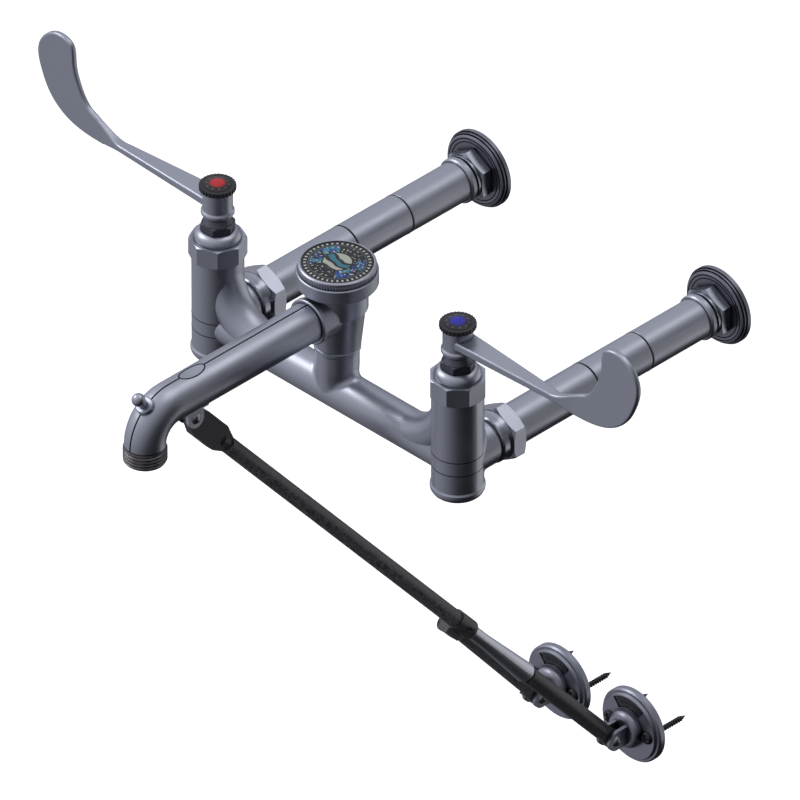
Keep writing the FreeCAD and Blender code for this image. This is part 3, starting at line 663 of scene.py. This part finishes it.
VALVE_X, VALVE_Y, _ = (abs(v) for v in joint("cold_lever_turn")["pos_m"])
VALVE_LAY = Lay((VALVE_X, -VALVE_Y, 0.0), paired=True)
ARM_LAY = Lay((VALVE_X, 0.0, 0.0), (0.0, 1.0, 0.0), paired=True)
HUB_LAY = Lay((0.0, -VALVE_Y, 0.0))
BRACE_LAY = Lay(tuple(joint("brace_swing")["pos_m"]), tuple(joint("brace_length")["axis"]))

# Plate over a blasted casting: broad soft highlights with a faint even grain.
CAST_CHROME = ChromePlate("chrome_plate_satin_cast", mark_spacing=1.8 * MM)
# Plate over turned brass: a highlight along the axis, crossed by faint rings.
VALVE_CHROME = ChromePlate("chrome_plate_satin_valve_turned", VALVE_LAY, Grain.TURNED)
ARM_CHROME = ChromePlate("chrome_plate_satin_arm_turned", ARM_LAY, Grain.TURNED)
HUB_CHROME = ChromePlate("chrome_plate_satin_hub_turned", HUB_LAY, Grain.TURNED)
# Plate over wrench flats: smoother, so that each facet is plainly light or dark.
NUT_CHROME = ChromePlate("chrome_plate_bright_nut", ARM_LAY, Grain.TURNED, "#A6A9B4", 0.17,
                         0.27)
# Plate on a stepped flange: darker, with painted shade that reaches well out of the steps.
FLANGE_CHROME = ChromePlate("chrome_plate_satin_flange_turned", ARM_LAY, Grain.TURNED, "#8A8C96",
                            0.3, 0.42, shade_reach=6.5 * MM)
# Plate on a ground rod: the palest metal, with one soft streak along it.
MIRROR_CHROME = ChromePlate("chrome_plate_polished", BRACE_LAY, Grain.DRAWN, "#C9CCD6", 0.4,
                            0.5, mark_depth=0.008 * MM)
# Plate in a flat mid grey, much darker and rougher than the rest.
DULL_CHROME = ChromePlate("chrome_plate_dulled", VALVE_LAY, Grain.TURNED, "#62636C", 0.42, 0.55)
# Grime baked on thin flash lines: almost black, so that they read as thin dark lines.
PARTING_CHROME = ChromePlate("chrome_plate_flash_dark", colour="#1E1E22", smoothest=0.5,
                             roughest=0.62)
# Baked powder with pale flecks: a dry, slightly sparkling near black.
BRACE_COAT = PowderCoat("powder_coat_flecked_black", BRACE_LAY)
# Baked powder with few flecks: an even near black with a duller sheen.
SMOOTH_COAT = PowderCoat("powder_coat_smooth_black", BRACE_LAY, "#1A1A1D", "#3A3A3E",
                         fleck_share=0.35, roughness=0.4)
# Machined brass: warm yellow inside the valves.
BRASS = BareMetal("brass_machined")
# Brass thread dulled by handling: brownish grey with soft glints on the crests.
OUTLET_BRASS = BareMetal("brass_thread_dulled", colour="#706C6E", roughness=0.42)
# Turned stainless steel: a neutral light grey, sharper than the plate.
STEEL = BareMetal("stainless_steel_turned", colour="#B4B4B8", roughness=0.26)
# Phosphated steel: charcoal with a weak metal sheen.
PHOSPHATE = BareMetal("steel_phosphated_black", colour="#4A4A4E", roughness=0.42)
# Moulded rubber: matt black.
RUBBER = Moulding("rubber_moulded_black", colour="#151516", roughness=0.62, ior=1.52)
# Moulded ABS: black with a soft sheen and paler rubbed edges.
PLASTIC = Moulding("abs_moulded_black", colour="#141417", roughness=0.34, ior=1.54)
# Ground alumina: creamy white with a low gloss.
CERAMIC = Moulding("alumina_ground", colour="#E7E3DA", roughness=0.22, ior=1.76)
# Cast resin: a bright middle that sinks into a dark rim.
RED_ENAMEL = IndexEnamel("resin_cast_red", VALVE_LAY)
BLUE_ENAMEL = IndexEnamel("resin_cast_blue", VALVE_LAY, "#1410A8", "#05050F")
# Screen-printed aluminium: small cool and cream inks on near black.
LABEL = PrintedDisc("aluminium_screen_printed", HUB_LAY)


# ---------------------------------------------------------------- mesh work

SHARP_ANGLE = math.radians(32)
RING_STEPS = 96
EMBED = 0.5 * MM                     # how far a bead reaches into the part under it


def lathe(radius_at: Callable[[float, float], float], heights: Sequence[float], steps: int,
          bore: float = 0.0) -> MeshParts:
    """Closed round solid about Z whose radius may change with the angle.

    Args:
        radius_at: Radius for an angle and a height.
        heights: Heights of the rows, from low to high.
        steps: Points round each row.
        bore: Radius of the hole through it, or 0 for a solid end.

    Returns:
        Vertices and faces.
    """
    angles = [math.tau * j / steps for j in range(steps)]
    points = [(r * math.cos(a), r * math.sin(a), z)
              for z in heights for a in angles for r in [radius_at(a, z)]]
    rows = len(heights)
    faces = [(i * steps + j, i * steps + (j + 1) % steps, (i + 1) * steps + (j + 1) % steps,
              (i + 1) * steps + j) for i in range(rows - 1) for j in range(steps)]
    start, last = len(points), (rows - 1) * steps
    if bore:
        points += [(bore * math.cos(a), bore * math.sin(a), z)
                   for z in (heights[0], heights[-1]) for a in angles]
        for j in range(steps):
            k = (j + 1) % steps
            faces += [(start + j, start + k, k, j),
                      (last + j, last + k, start + steps + k, start + steps + j),
                      (start + k, start + j, start + steps + j, start + steps + k)]
    else:
        points += [(0.0, 0.0, heights[0]), (0.0, 0.0, heights[-1])]
        for j in range(steps):
            k = (j + 1) % steps
            faces += [(k, j, start), (last + j, last + k, start + 1)]
    return points, faces


def sweep(path: Sequence[Vector], outwards: Sequence[Vector], section: Section) -> MeshParts:
    """Closed bead of one section along a path.

    Args:
        path: Points along the bead.
        outwards: Direction away from the surface at each point.
        section: Sideways and outward place of each point round the bead.

    Returns:
        Vertices and faces.
    """
    points = []
    for i, (here, out) in enumerate(zip(path, outwards)):
        ahead = path[min(i + 1, len(path) - 1)] - path[max(i - 1, 0)]
        side = ahead.normalized().cross(out)
        points += [tuple(here + side * s + out * o) for s, o in section]
    n = len(section)
    faces = [(i * n + j, i * n + (j + 1) % n, (i + 1) * n + (j + 1) % n, (i + 1) * n + j)
             for i in range(len(path) - 1) for j in range(n)]
    faces += [tuple(range(n))[::-1], tuple(range(len(points) - n, len(points)))]
    return points, faces


def round_bead(radius: float, width: float, stand: float) -> MeshParts:
    """Thin rounded bead round a bar that lies along Z, centred on Z = 0.

    Args:
        radius: Radius of the bar.
        width: Width of the bead along the bar.
        stand: Height of the bead above the bar's skin.

    Returns:
        Vertices and faces.
    """
    half, top = width / 2, radius + stand
    fall = 1.6 * stand               # the edges end below the skin
    return lathe(lambda _, z: top - (abs(z) / half) ** 2 * fall,
                 spread(-half, half, half / 3), RING_STEPS, radius - EMBED)


def joined(*parts: MeshParts) -> MeshParts:
    """Several solids as the parts of one mesh.

    Args:
        parts: Vertices and faces of each solid.

    Returns:
        Vertices and faces of all of them.
    """
    points, faces = [], []
    for more_points, more_faces in parts:
        start = len(points)
        points += more_points
        faces += [tuple(start + i for i in face) for face in more_faces]
    return points, faces


def moved(parts: MeshParts, place: Matrix) -> MeshParts:
    """The same mesh in another place."""
    points, faces = parts
    return [tuple(place @ Vector(p)) for p in points], faces


def make_piece(name: str, parts: MeshParts, finish: Finish, body: str
               ) -> bpy.types.Object:
    """Make a mesh object that rides on a body.

    Args:
        name: Name of the piece.
        parts: Vertices and faces in the row frame.
        finish: Finish of the whole piece.
        body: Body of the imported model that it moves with.

    Returns:
        The new object.
    """
    mesh = bpy.data.meshes.new(name)
    mesh.from_pydata(parts[0], [], parts[1])
    mesh.validate()
    mesh.shade_smooth()
    mesh.set_sharp_from_angle(angle=SHARP_ANGLE)
    mesh.materials.append(finish.material())
    piece = bpy.data.objects.new(name, mesh)
    bpy.context.scene.collection.objects.link(piece)
    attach(piece, body)
    LOG.info("%s: %d faces, %s, rides on %s", name, len(mesh.polygons), finish.name, body)
    return piece


@dataclass(frozen=True)
class Thread:
    """Outside screw thread about Z, with ends that run out into the core."""

    crest: float
    root: float
    pitch: float
    start: float
    end: float
    fullness: float = 1.35           # above 1 by how wide the crests' flats are
    slope: float = 3.4               # of the flanks, in depths for each pitch
    run_out: float = 0.6             # pitches over which the thread fades at its ends

    def height(self, angle: float, z: float) -> float:
        """Share of the thread's full depth at a point.

        Args:
            angle: Angle of the point about the axis.
            z: Height of the point.

        Returns:
            From 0 at the root to 1 on a crest.
        """
        phase = (z / self.pitch - angle / math.tau) % 1.0
        ridge = min(1.0, max(0.0, self.fullness - abs(phase - 0.5) * self.slope))
        fade = min((z - self.start), (self.end - z)) / (self.run_out * self.pitch)
        return ridge * min(1.0, max(0.0, fade))

    def radius(self, angle: float, z: float) -> float:
        """Radius of a threaded bar at a point."""
        return self.root + (self.crest - self.root) * self.height(angle, z)


def spread(start: float, end: float, step: float) -> list[float]:
    """Evenly spaced numbers from start to end, about a step apart."""
    count = max(1, round((end - start) / step))
    return [start + (end - start) * i / count for i in range(count + 1)]


# ---------------------------------------------------------------- sub-assemblies

@dataclass
class SubAssembly:
    """Pieces of the faucet that belong together and are dressed and built together."""

    def dress(self) -> None:
        """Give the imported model's nodes their finishes."""
        raise NotImplementedError

    def build(self) -> list[bpy.types.Object]:
        """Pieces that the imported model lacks, none by default."""
        return []


@dataclass
class MixingBody(SubAssembly):
    """Cast body with both valve bodies, the centre tube and the unions at its back."""

    valve_radius: float = 16 * MM
    line_heights: tuple[float, float] = (5.7 * MM, -3.8 * MM)
    line_width: float = 0.75 * MM
    line_stand: float = 0.13 * MM    # above the valve body's skin

    def dress(self) -> None:
        """Give the casting, its nuts and its washers their finishes."""
        CAST_CHROME.dress("faucet_body")
        NUT_CHROME.dress("union_nut_hot", "union_nut_cold")
        RUBBER.dress("union_gaskets", "joint_washers")

    def build(self) -> list[bpy.types.Object]:
        """Make the two dark witness lines that the moulds leave round each valve body.

        Returns:
            The new piece.
        """
        line = round_bead(self.valve_radius, self.line_width, self.line_stand)
        lines = [moved(line, Matrix.Translation((side * VALVE_X, -VALVE_Y, z)))
                 for side in SIDES.values() for z in self.line_heights]
        return [make_piece("valve_witness_lines", joined(*lines), PARTING_CHROME, "faucet")]


@dataclass
class InletArms(SubAssembly):
    """The two arms to the wall, with their lock nuts and stepped flanges."""

    pipe_radius: float = 13.1 * MM
    seal_width: float = 1.1 * MM
    seal_stand: float = 0.16 * MM    # above the pipe's skin
    # Inner radius and depth behind the flange's front face of each line left by the tool.
    line_places: tuple[tuple[float, float], ...] = ((19.2 * MM, 0.0), (21.4 * MM, 0.0),
                                                    (23.6 * MM, 1.8 * MM), (24.6 * MM, 3.4 * MM))
    line_width: float = 0.6 * MM
    line_stand: float = 0.12 * MM
    line_embed: float = 0.3 * MM

    def dress(self) -> None:
        """Give the arms, nuts and flanges their finishes."""
        for side in SIDES:
            ARM_CHROME.dress(f"inlet_tail_{side}", f"wall_nipple_{side}")
            FLANGE_CHROME.dress(f"wall_flange_{side}")
        ARM_CHROME.dress("inlet_sleeves")
        NUT_CHROME.dress("flange_nuts")

    def build(self) -> list[bpy.types.Object]:
        """The beads of sealant and the flanges' lines."""
        return [self.sealant(), self.flange_lines()]

    def flange_lines(self) -> bpy.types.Object:
        """Dark rings that the lathe tool leaves on the wall flanges and in their steps.

        Returns:
            The new piece.
        """
        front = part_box("wall_flange_hot")[0].y
        turn = Matrix.Rotation(-math.pi / 2, 4, "X")
        rings = []
        for inner, depth in self.line_places:
            outer = inner + self.line_width
            ring = lathe(lambda _, z: outer, [-self.line_stand, self.line_embed], RING_STEPS,
                         inner)
            rings += [moved(ring, Matrix.Translation((side * VALVE_X, front + depth, 0.0)) @ turn)
                      for side in SIDES.values()]
        return make_piece("flange_turned_lines", joined(*rings), PARTING_CHROME, "faucet")

    def sealant(self) -> bpy.types.Object:
        """Dark beads of thread sealant that show at the pipe joints.

        Returns:
            The new piece.
        """
        bead = round_bead(self.pipe_radius, self.seal_width, self.seal_stand)
        low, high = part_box("inlet_sleeves")
        turn = Matrix.Rotation(-math.pi / 2, 4, "X")
        beads = [moved(bead, Matrix.Translation((side * VALVE_X, y, 0.0)) @ turn)
                 for side in SIDES.values() for y in (low.y, high.y)]
        return make_piece("joint_sealant", joined(*beads), RUBBER, "faucet")


@dataclass
class Valves(SubAssembly):
    """Both quarter-turn valves with their levers and index buttons."""

    def dress(self) -> None:
        """Give everything from the seat up to the index button its finish."""
        BRASS.dress("cartridges", "spindle_hot", "spindle_cold")
        CERAMIC.dress("fixed_discs", "moving_disc_hot", "moving_disc_cold")
        RUBBER.dress("seat_seals", "bonnet_gaskets", "stem_packings")
        DULL_CHROME.dress("packing_nuts")
        for side in SIDES:
            VALVE_CHROME.dress(f"bonnet_{side}")
            CAST_CHROME.dress(f"handle_{side}")
            STEEL.dress(f"handle_screw_{side}")
            PLASTIC.dress(f"index_ring_{side}")
        RED_ENAMEL.dress("index_button_hot")
        BLUE_ENAMEL.dress("index_button_cold")


@dataclass
class VacuumBreaker(SubAssembly):
    """Breaker casting with its float, its cap and the knurled neck under the cap's rim."""

    ribs: int = 84
    neck_radius: float = 23.15 * MM
    rib_height: float = 0.5 * MM
    neck_low: float = 4.9 * MM       # below the top of the cap
    neck_high: float = 2.1 * MM
    neck_embed: float = 0.4 * MM
    chamfer: float = 0.25 * MM
    rib_points: int = 8

    def dress(self) -> None:
        """Give the casting, cap, label and inner parts their finishes."""
        HUB_CHROME.dress("breaker_body", "breaker_cap")
        LABEL.dress("cap_label")
        BRASS.dress("air_seat", "breaker_float")
        RUBBER.dress("float_disc")
        STEEL.dress("cap_screw")

    def build(self) -> list[bpy.types.Object]:
        """Make the knurled neck.

        Returns:
            The new piece.
        """
        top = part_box("breaker_cap")[1].z
        low, high = top - self.neck_low, top - self.neck_high

        def radius_at(angle: float, z: float) -> float:
            """Radius of the knurl, cut back at both ends."""
            rib = abs(math.cos(self.ribs * angle / 2)) * self.rib_height
            return self.neck_radius + rib * min(1.0, min(z - low, high - z) / self.chamfer)

        heights = [low, low + self.chamfer, high - self.chamfer, high]
        knurl = lathe(radius_at, heights, self.ribs * self.rib_points,
                      self.neck_radius - self.neck_embed)
        place = Matrix.Translation((0.0, -VALVE_Y, 0.0))
        return [make_piece("cap_knurl", moved(knurl, place), HUB_CHROME, "faucet")]


@dataclass
class Spout(SubAssembly):
    """Bent spout with its parting line, pail hook and threaded outlet."""

    bend_radius: float = 20 * MM
    seam_half_width: float = 0.55 * MM
    seam_height: float = 0.22 * MM
    hook_half_angle: float = math.radians(10.2)
    hook_angle: float = math.radians(36.7)
    notch_at: float = 122.5 * MM     # in front of the breaker's axis
    notch_length: float = 20 * MM
    notch_depth: float = 0.85 * MM
    rim_half_width: float = 0.4 * MM
    rim_height: float = 0.14 * MM
    pitch: float = 25.4 / 11.5 * MM
    thread_depth: float = 0.95 * MM
    nipple_bore: float = 8.5 * MM
    nipple_land: float = 1.2 * MM    # plain ring above the thread
    seam_step: float = 1.5 * MM
    seam_gap: float = 0.2 * MM       # between the seam's end and the nipple
    # Sections of the beads, in half widths across and in heights outwards.
    seam_section: Section = ((-1, -1), (-1, 0), (-0.55, 0.75), (0, 1), (0.55, 0.75), (1, 0),
                             (1, -1))
    rim_section: Section = ((-1, -1), (-1, 0.4), (0, 1), (1, 0.4), (1, -1))

    def dress(self) -> None:
        """Give the spout and its fittings their finishes."""
        CAST_CHROME.dress("spout", "pail_hook")
        MIRROR_CHROME.dress("brace_lug")
        STEEL.dress("brace_pin")

    @property
    def tube(self) -> float:
        """Outside radius of the spout's tube."""
        low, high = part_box("spout")
        return (high.x - low.x) / 2

    def seam_run(self, over: Sequence[float], bend_at: Vector, reach: float) -> MeshParts:
        """One unbroken run of the parting line.

        Args:
            over: Distances along the top line, counted from the start of the bend and
                negative on the straight.
            bend_at: Centre of the bend.
            reach: Distance from the centre of the bend to the outside of the tube.

        Returns:
            Vertices and faces.
        """
        path, outwards = [], []
        quarter = reach * math.pi / 2
        for s in over:
            angle = min(max(s, 0.0), quarter) / reach
            out = Vector((0.0, -math.sin(angle), math.cos(angle)))
            along = Vector((0.0, -math.cos(angle), -math.sin(angle)))
            path.append(bend_at + out * reach + along * (s - min(max(s, 0.0), quarter)))
            outwards.append(out)
        return sweep(path, outwards, [(self.seam_half_width * x, self.seam_height * y)
                                      for x, y in self.seam_section])

    def seam(self) -> bpy.types.Object:
        """Raised parting line down the middle of the spout.

        Returns:
            The new piece.
        """
        low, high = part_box("spout")
        bend_at = Vector((0.0, low.y + self.tube + self.bend_radius,
                          high.z - self.tube - self.bend_radius))
        reach = self.bend_radius + self.tube
        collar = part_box("breaker_body")[0].y
        notch = -VALVE_Y - self.notch_at
        half_notch = self.notch_length / 2
        end = reach * math.pi / 2 + bend_at.z - low.z
        limits = [(bend_at.y - collar, bend_at.y - notch - half_notch),
                  (bend_at.y - notch + half_notch,
                   reach * (self.hook_angle - self.hook_half_angle)),
                  (reach * (self.hook_angle + self.hook_half_angle), end - self.seam_gap)]
        runs = [self.seam_run(spread(a, b, self.seam_step), bend_at, reach) for a, b in limits]
        return make_piece("spout_parting_line", joined(*runs), PARTING_CHROME, "faucet")

    def notch_rim(self) -> bpy.types.Object:
        """Thin burr round the edge of the notch for a pail's handle.

        Returns:
            The new piece.
        """
        tube = self.tube
        axis = Vector((0.0, -VALVE_Y - self.notch_at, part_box("spout")[1].z - tube))
        half = self.notch_length / 2
        sag = half ** 2 / 2 / self.notch_depth
        floor = tube - self.notch_depth + sag
        path, outwards = [], []
        for angle in spread(0.0, math.tau, math.radians(5)):
            along = half * math.cos(angle)
            height = min(floor - math.sqrt(sag ** 2 - along ** 2), tube)
            across = math.copysign(math.sqrt(tube ** 2 - height ** 2), math.sin(angle))
            out = Vector((across, 0.0, height)) / tube
            path.append(axis + out * tube + Vector((0.0, along, 0.0)))
            outwards.append(out)
        section = [(self.rim_half_width * x, self.rim_height * y) for x, y in self.rim_section]
        return make_piece("spout_notch_rim", sweep(path, outwards, section), PARTING_CHROME,
                          "faucet")

    def outlet(self) -> bpy.types.Object:
        """Outlet nipple with its hose thread.

        Returns:
            The new piece, which stands for the plain nipple.
        """
        low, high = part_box("outlet_nipple")
        crest = (high.x - low.x) / 2
        thread = Thread(crest, crest - self.thread_depth, self.pitch, low.z,
                        high.z - self.nipple_land)
        heights = spread(low.z, high.z, self.pitch / 10)
        middle = (low + high) / 2
        shape = lathe(thread.radius, heights, RING_STEPS, self.nipple_bore)
        place = Matrix.Translation((middle.x, middle.y, 0.0))
        piece = make_piece("outlet_hose_thread", moved(shape, place), OUTLET_BRASS, "faucet")
        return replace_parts(piece, "outlet_nipple")

    def build(self) -> list[bpy.types.Object]:
        """The parting line, the notch's rim and the threaded outlet."""
        return [self.seam(), self.notch_rim(), self.outlet()]


@dataclass
class Brace(SubAssembly):
    """Telescopic brace with its stay, from the spout down to the two wall feet."""

    def dress(self) -> None:
        """Give the legs, collar and pins their finishes."""
        BRACE_COAT.dress("brace_tube", "stay_rod")
        SMOOTH_COAT.dress("brace_end", "brace_collar", "brace_foot")
        MIRROR_CHROME.dress("brace_rod")
        PHOSPHATE.dress("brace_set_screw")
        STEEL.dress("stay_pin")


@dataclass
class WallFoot(SubAssembly):
    """One round foot of the brace with its pin, dark inlay and two wood screws."""

    side: str
    inner: float = 13.7 * MM
    outer: float = 20.7 * MM
    half_angle: float = math.radians(36.5)
    inlay_back: float = 5.6 * MM
    inlay_front: float = 6.15 * MM
    head_radius: float = 4.2 * MM
    head_height: float = 2.8 * MM
    head_step: float = 0.35 * MM
    screw_radius: float = 1.9 * MM
    screw_root: float = 0.68         # of the screw's radius
    screw_pitch: float = 1.9 * MM
    screw_neck: float = 4 * MM       # plain length under the head
    screw_taper: float = 5 * MM      # length of the point
    screw_steps: int = 32
    slot_half_width: float = 0.55 * MM
    slot_depth: float = 0.35         # of the head's height
    inlay_edge: float = 0.15 * MM
    inlay_inset: float = 0.2 * MM
    bar_radius: float = 0.75 * MM
    bar_stretch: float = 2.6
    bar_spread: float = 0.62         # of the inlay's half angle
    bar_spacing: float = math.radians(7)

    @property
    def body(self) -> str:
        """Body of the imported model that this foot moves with."""
        return f"foot_{self.side}"

    def dress(self) -> None:
        """Give the flange and pin their finishes."""
        middle = centre_of(f"brace_flange_{self.side}")
        lay = Lay((middle.x, 0.0, middle.z), (0.0, 1.0, 0.0))
        # The foot's plate has shade painted up to 4 mm out of its joints and corners.
        flange = ChromePlate(f"chrome_plate_satin_foot_{self.side}", lay, Grain.TURNED,
                             "#989AA5", shade_reach=4.0 * MM)
        flange.dress(f"brace_flange_{self.side}")
        STEEL.dress(f"foot_pin_{self.side}")

    def kidney(self) -> MeshParts:
        """Curved inlay with round ends, about the flange's axis at rest on Y.

        Returns:
            Vertices and faces.
        """
        middle_r = (self.inner + self.outer) / 2
        half = (self.outer - self.inner) / 2
        end_angle = self.half_angle - half / middle_r
        layers = ((self.inlay_back, 0.0), (self.inlay_front - self.inlay_edge, 0.0),
                  (self.inlay_front, self.inlay_inset))
        steps = spread(-self.half_angle, self.half_angle, math.radians(2.5))
        points, faces = [], []
        for angle in steps:
            past = max(0.0, abs(angle) - end_angle) * middle_r
            width = max(0.25 * MM, math.sqrt(max(0.0, half ** 2 - past ** 2)))
            for depth, inset in layers:
                reach = max(0.1 * MM, width - inset)
                for r in (middle_r - reach, middle_r + reach):
                    points.append((r * math.sin(angle), -depth, r * math.cos(angle)))
        ring = (0, 1, 3, 5, 4, 2)
        for i in range(len(steps) - 1):
            for a, b in zip(ring, ring[1:] + ring[:1]):
                faces.append((6 * i + a, 6 * i + b, 6 * (i + 1) + b, 6 * (i + 1) + a))
        faces += [ring[::-1], tuple(6 * (len(steps) - 1) + k for k in ring)]
        return points, faces

    def bars(self) -> list[MeshParts]:
        """Raised bars in a row along the inlay.

        Returns:
            Vertices and faces of each bar.
        """
        middle_r = (self.inner + self.outer) / 2
        reach = self.bar_spread * self.half_angle
        foot, top = 0.2 * MM, 0.3 * MM
        bar = lathe(lambda _, z: self.bar_radius * (1.0 if z < foot else 0.6),
                    [-foot, foot, top], 16)
        out = (Matrix.Translation((0.0, -self.inlay_front, middle_r))
               @ Matrix.Rotation(math.pi / 2, 4, "X")
               @ Matrix.Diagonal((1.0, self.bar_stretch, 1.0, 1.0)))
        return [moved(bar, Matrix.Rotation(angle, 4, "Y") @ out)
                for angle in spread(-reach, reach, self.bar_spacing)]

    def inlay(self) -> bpy.types.Object:
        """Dark kidney-shaped inlay in the flange's recess, with a row of raised bars.

        Returns:
            The new piece.
        """
        middle = centre_of(f"brace_flange_{self.side}")
        shape = moved(joined(self.kidney(), *self.bars()),
                      Matrix.Translation((middle.x, 0.0, middle.z)))
        return make_piece(f"foot_inlay_{self.side}", shape, PLASTIC, self.body)

    def screw(self, front: float, tip: float) -> MeshParts:
        """One wood screw about Z, head at the bottom and point at the top.

        Args:
            front: Height of the head's front face.
            tip: Height of the point.

        Returns:
            Vertices and faces.
        """
        seat = front + self.head_height
        thread = Thread(self.screw_radius, self.screw_root * self.screw_radius,
                        self.screw_pitch, seat + self.screw_neck, tip)

        def radius_at(angle: float, z: float) -> float:
            """Radius of the domed head, the shank or the tapering thread.

            Args:
                angle: Angle of the point about the axis.
                z: Height of the point.

            Returns:
                Radius of the screw there.
            """
            if z < seat:
                rise = (z - front) / self.head_height
                return self.head_radius * math.sqrt(max(0.05, 1 - (1 - rise) ** 2.4))
            taper = min(1.0, max(0.04, (tip - z) / self.screw_taper))
            return thread.radius(angle, z) * taper

        heights = spread(front, seat - 0.01 * MM, self.head_step)
        heights += [seat] + spread(seat + 0.2 * MM, tip, self.screw_pitch / 8)
        points, faces = lathe(radius_at, heights, self.screw_steps)
        recess = front + 0.3 * self.head_height
        points = [(x, y, z + self.slot_depth * self.head_height)
                  if z < recess and min(abs(x), abs(y)) < self.slot_half_width else (x, y, z)
                  for x, y, z in points]
        return points, faces

    def screws(self) -> bpy.types.Object:
        """Both wood screws of this foot.

        Returns:
            The new piece, which stands for the plain screws.
        """
        low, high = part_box(f"wall_screws_{self.side}")
        z = (low.z + high.z) / 2
        single = self.screw(low.y, high.y)
        turn = Matrix.Rotation(-math.pi / 2, 4, "X")
        both = [moved(single, Matrix.Translation((x, 0.0, z)) @ turn)
                for x in (low.x + self.head_radius, high.x - self.head_radius)]
        piece = make_piece(f"wall_screws_threaded_{self.side}", joined(*both), PHOSPHATE,
                           self.body)
        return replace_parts(piece, f"wall_screws_{self.side}")

    def build(self) -> list[bpy.types.Object]:
        """The inlay and the screws."""
        return [self.inlay(), self.screws()]


# ---------------------------------------------------------------- studio

@dataclass(frozen=True)
class Softbox:
    """A square light that faces the faucet."""

    name: str
    place: Point
    size: float
    watts: float

    def build(self, target: Vector) -> None:
        """Hang the light and aim it at a point.

        Args:
            target: Point that the light faces.
        """
        lamp = bpy.data.lights.new(self.name, "AREA")
        lamp.shape = "SQUARE"
        lamp.size = self.size
        lamp.energy = self.watts
        holder = bpy.data.objects.new(self.name, lamp)
        holder.location = target + Vector(self.place)
        holder.rotation_euler = (-Vector(self.place)).to_track_quat("-Z", "Y").to_euler()
        bpy.context.scene.collection.objects.link(holder)


@dataclass
class Studio:
    """Pale floor, soft surroundings, lights and the camera."""

    azimuth: float = 45.0
    elevation: float = 35.264        # equal foreshortening of all three axes
    focal_mm: float = 1500.0
    sensor_mm: float = 36.0
    picture_width: float = 479 * MM
    aim_right: float = 37.4 * MM     # from the middle of the body, across the picture
    aim_up: float = -7.8 * MM
    floor_drop: float = 0.25         # under the lowest point
    floor_size: float = 60.0
    floor_glow: float = 0.55
    # Direction of the brightest surroundings, and how far round they fade.
    bright_side: Point = (-0.64, -0.27, 0.72)
    fade: tuple[float, float] = (-0.62, 0.95)
    glow: tuple[float, float] = (0.02, 0.9)
    lights: tuple[Softbox, ...] = (Softbox("key", (-1.8, -0.9, 1.6), 1.1, 15.0),
                                   Softbox("top", (0.5, 0.8, 2.1), 1.4, 7.0),
                                   Softbox("behind", (0.9, 1.9, -0.45), 2.2, 11.0))

    def camera(self, middle: Vector) -> None:
        """Long-lens camera at the corner view.

        Args:
            middle: Middle of the cast body.
        """
        a, e = math.radians(self.azimuth), math.radians(self.elevation)
        back = Vector((math.sin(a) * math.cos(e), -math.cos(a) * math.cos(e), math.sin(e)))
        turn = (-back).to_track_quat("-Z", "Y")
        right, up = turn @ Vector((1, 0, 0)), turn @ Vector((0, 1, 0))
        distance = self.picture_width * self.focal_mm / self.sensor_mm
        lens = bpy.data.cameras.new("camera")
        lens.lens = self.focal_mm
        lens.sensor_width = self.sensor_mm
        lens.clip_end = 2 * distance
        camera = bpy.data.objects.new("camera", lens)
        camera.location = middle + right * self.aim_right + up * self.aim_up + back * distance
        camera.rotation_mode = "QUATERNION"
        camera.rotation_quaternion = turn
        bpy.context.scene.collection.objects.link(camera)
        bpy.context.scene.camera = camera

    def floor(self) -> None:
        """Plain white paper floor, which chrome doesn't mirror."""
        z = MODEL_BOX[0].z - self.floor_drop
        half = self.floor_size / 2
        mesh = bpy.data.meshes.new("floor")
        mesh.from_pydata([(-half, -half, z), (half, -half, z), (half, half, z),
                          (-half, half, z)], [], [(0, 1, 2, 3)])
        material = bpy.data.materials.new("paper_white")
        material.use_nodes = True
        tree = material.node_tree
        tree.nodes.clear()
        shader = add(tree, "ShaderNodeBsdfPrincipled",
                     {"Base Color": linear("#F4F4F4"), "Roughness": 0.9,
                      "Emission Color": linear("#FFFFFF"), "Emission Strength": self.floor_glow})
        add(tree, "ShaderNodeOutputMaterial", {"Surface": shader})
        mesh.materials.append(material)
        paper = bpy.data.objects.new("floor", mesh)
        paper.visible_glossy = False
        bpy.context.scene.collection.objects.link(paper)

    def surroundings(self) -> None:
        """World light that fades from a bright left side to a dark right side."""
        world = bpy.data.worlds.new("surroundings")
        world.use_nodes = True
        bpy.context.scene.world = world
        tree = world.node_tree
        tree.nodes.clear()
        direction = add(tree, "ShaderNodeTexCoord", output="Generated")
        towards = Vector(self.bright_side).normalized()
        facing = add(tree, "ShaderNodeVectorMath", {0: direction, 1: towards}, output="Value",
                     operation="DOT_PRODUCT")
        (far, near), (dim, bright) = self.fade, self.glow
        strength = add(tree, "ShaderNodeMapRange", {"Value": facing, "From Min": far,
                                                    "From Max": near, "To Min": dim,
                                                    "To Max": bright})
        glow = add(tree, "ShaderNodeBackground", {"Color": linear("#ECEEF8"),
                                                  "Strength": strength})
        add(tree, "ShaderNodeOutputWorld", {"Surface": glow})

    def build(self) -> None:
        """Set up the whole studio."""
        middle = Vector((0.0, -VALVE_Y, 0.0))
        self.camera(middle)
        self.floor()
        self.surroundings()
        for softbox in self.lights:
            softbox.build(middle)
        bpy.context.scene.view_settings.view_transform = "Standard"


def main() -> None:
    """Dress and build every sub-assembly, then set up the studio."""
    logging.basicConfig(level=logging.INFO, format="%(message)s")
    assemblies: list[SubAssembly] = [MixingBody(), InletArms(), Valves(), VacuumBreaker(),
                                     Spout(), Brace()]
    assemblies += [WallFoot(side) for side in FEET]
    for assembly in assemblies:
        assembly.dress()
        pieces = assembly.build()
        LOG.info("%s: %d new pieces", type(assembly).__name__, len(pieces))
    Studio().build()


if __name__ == "__main__":
    main()
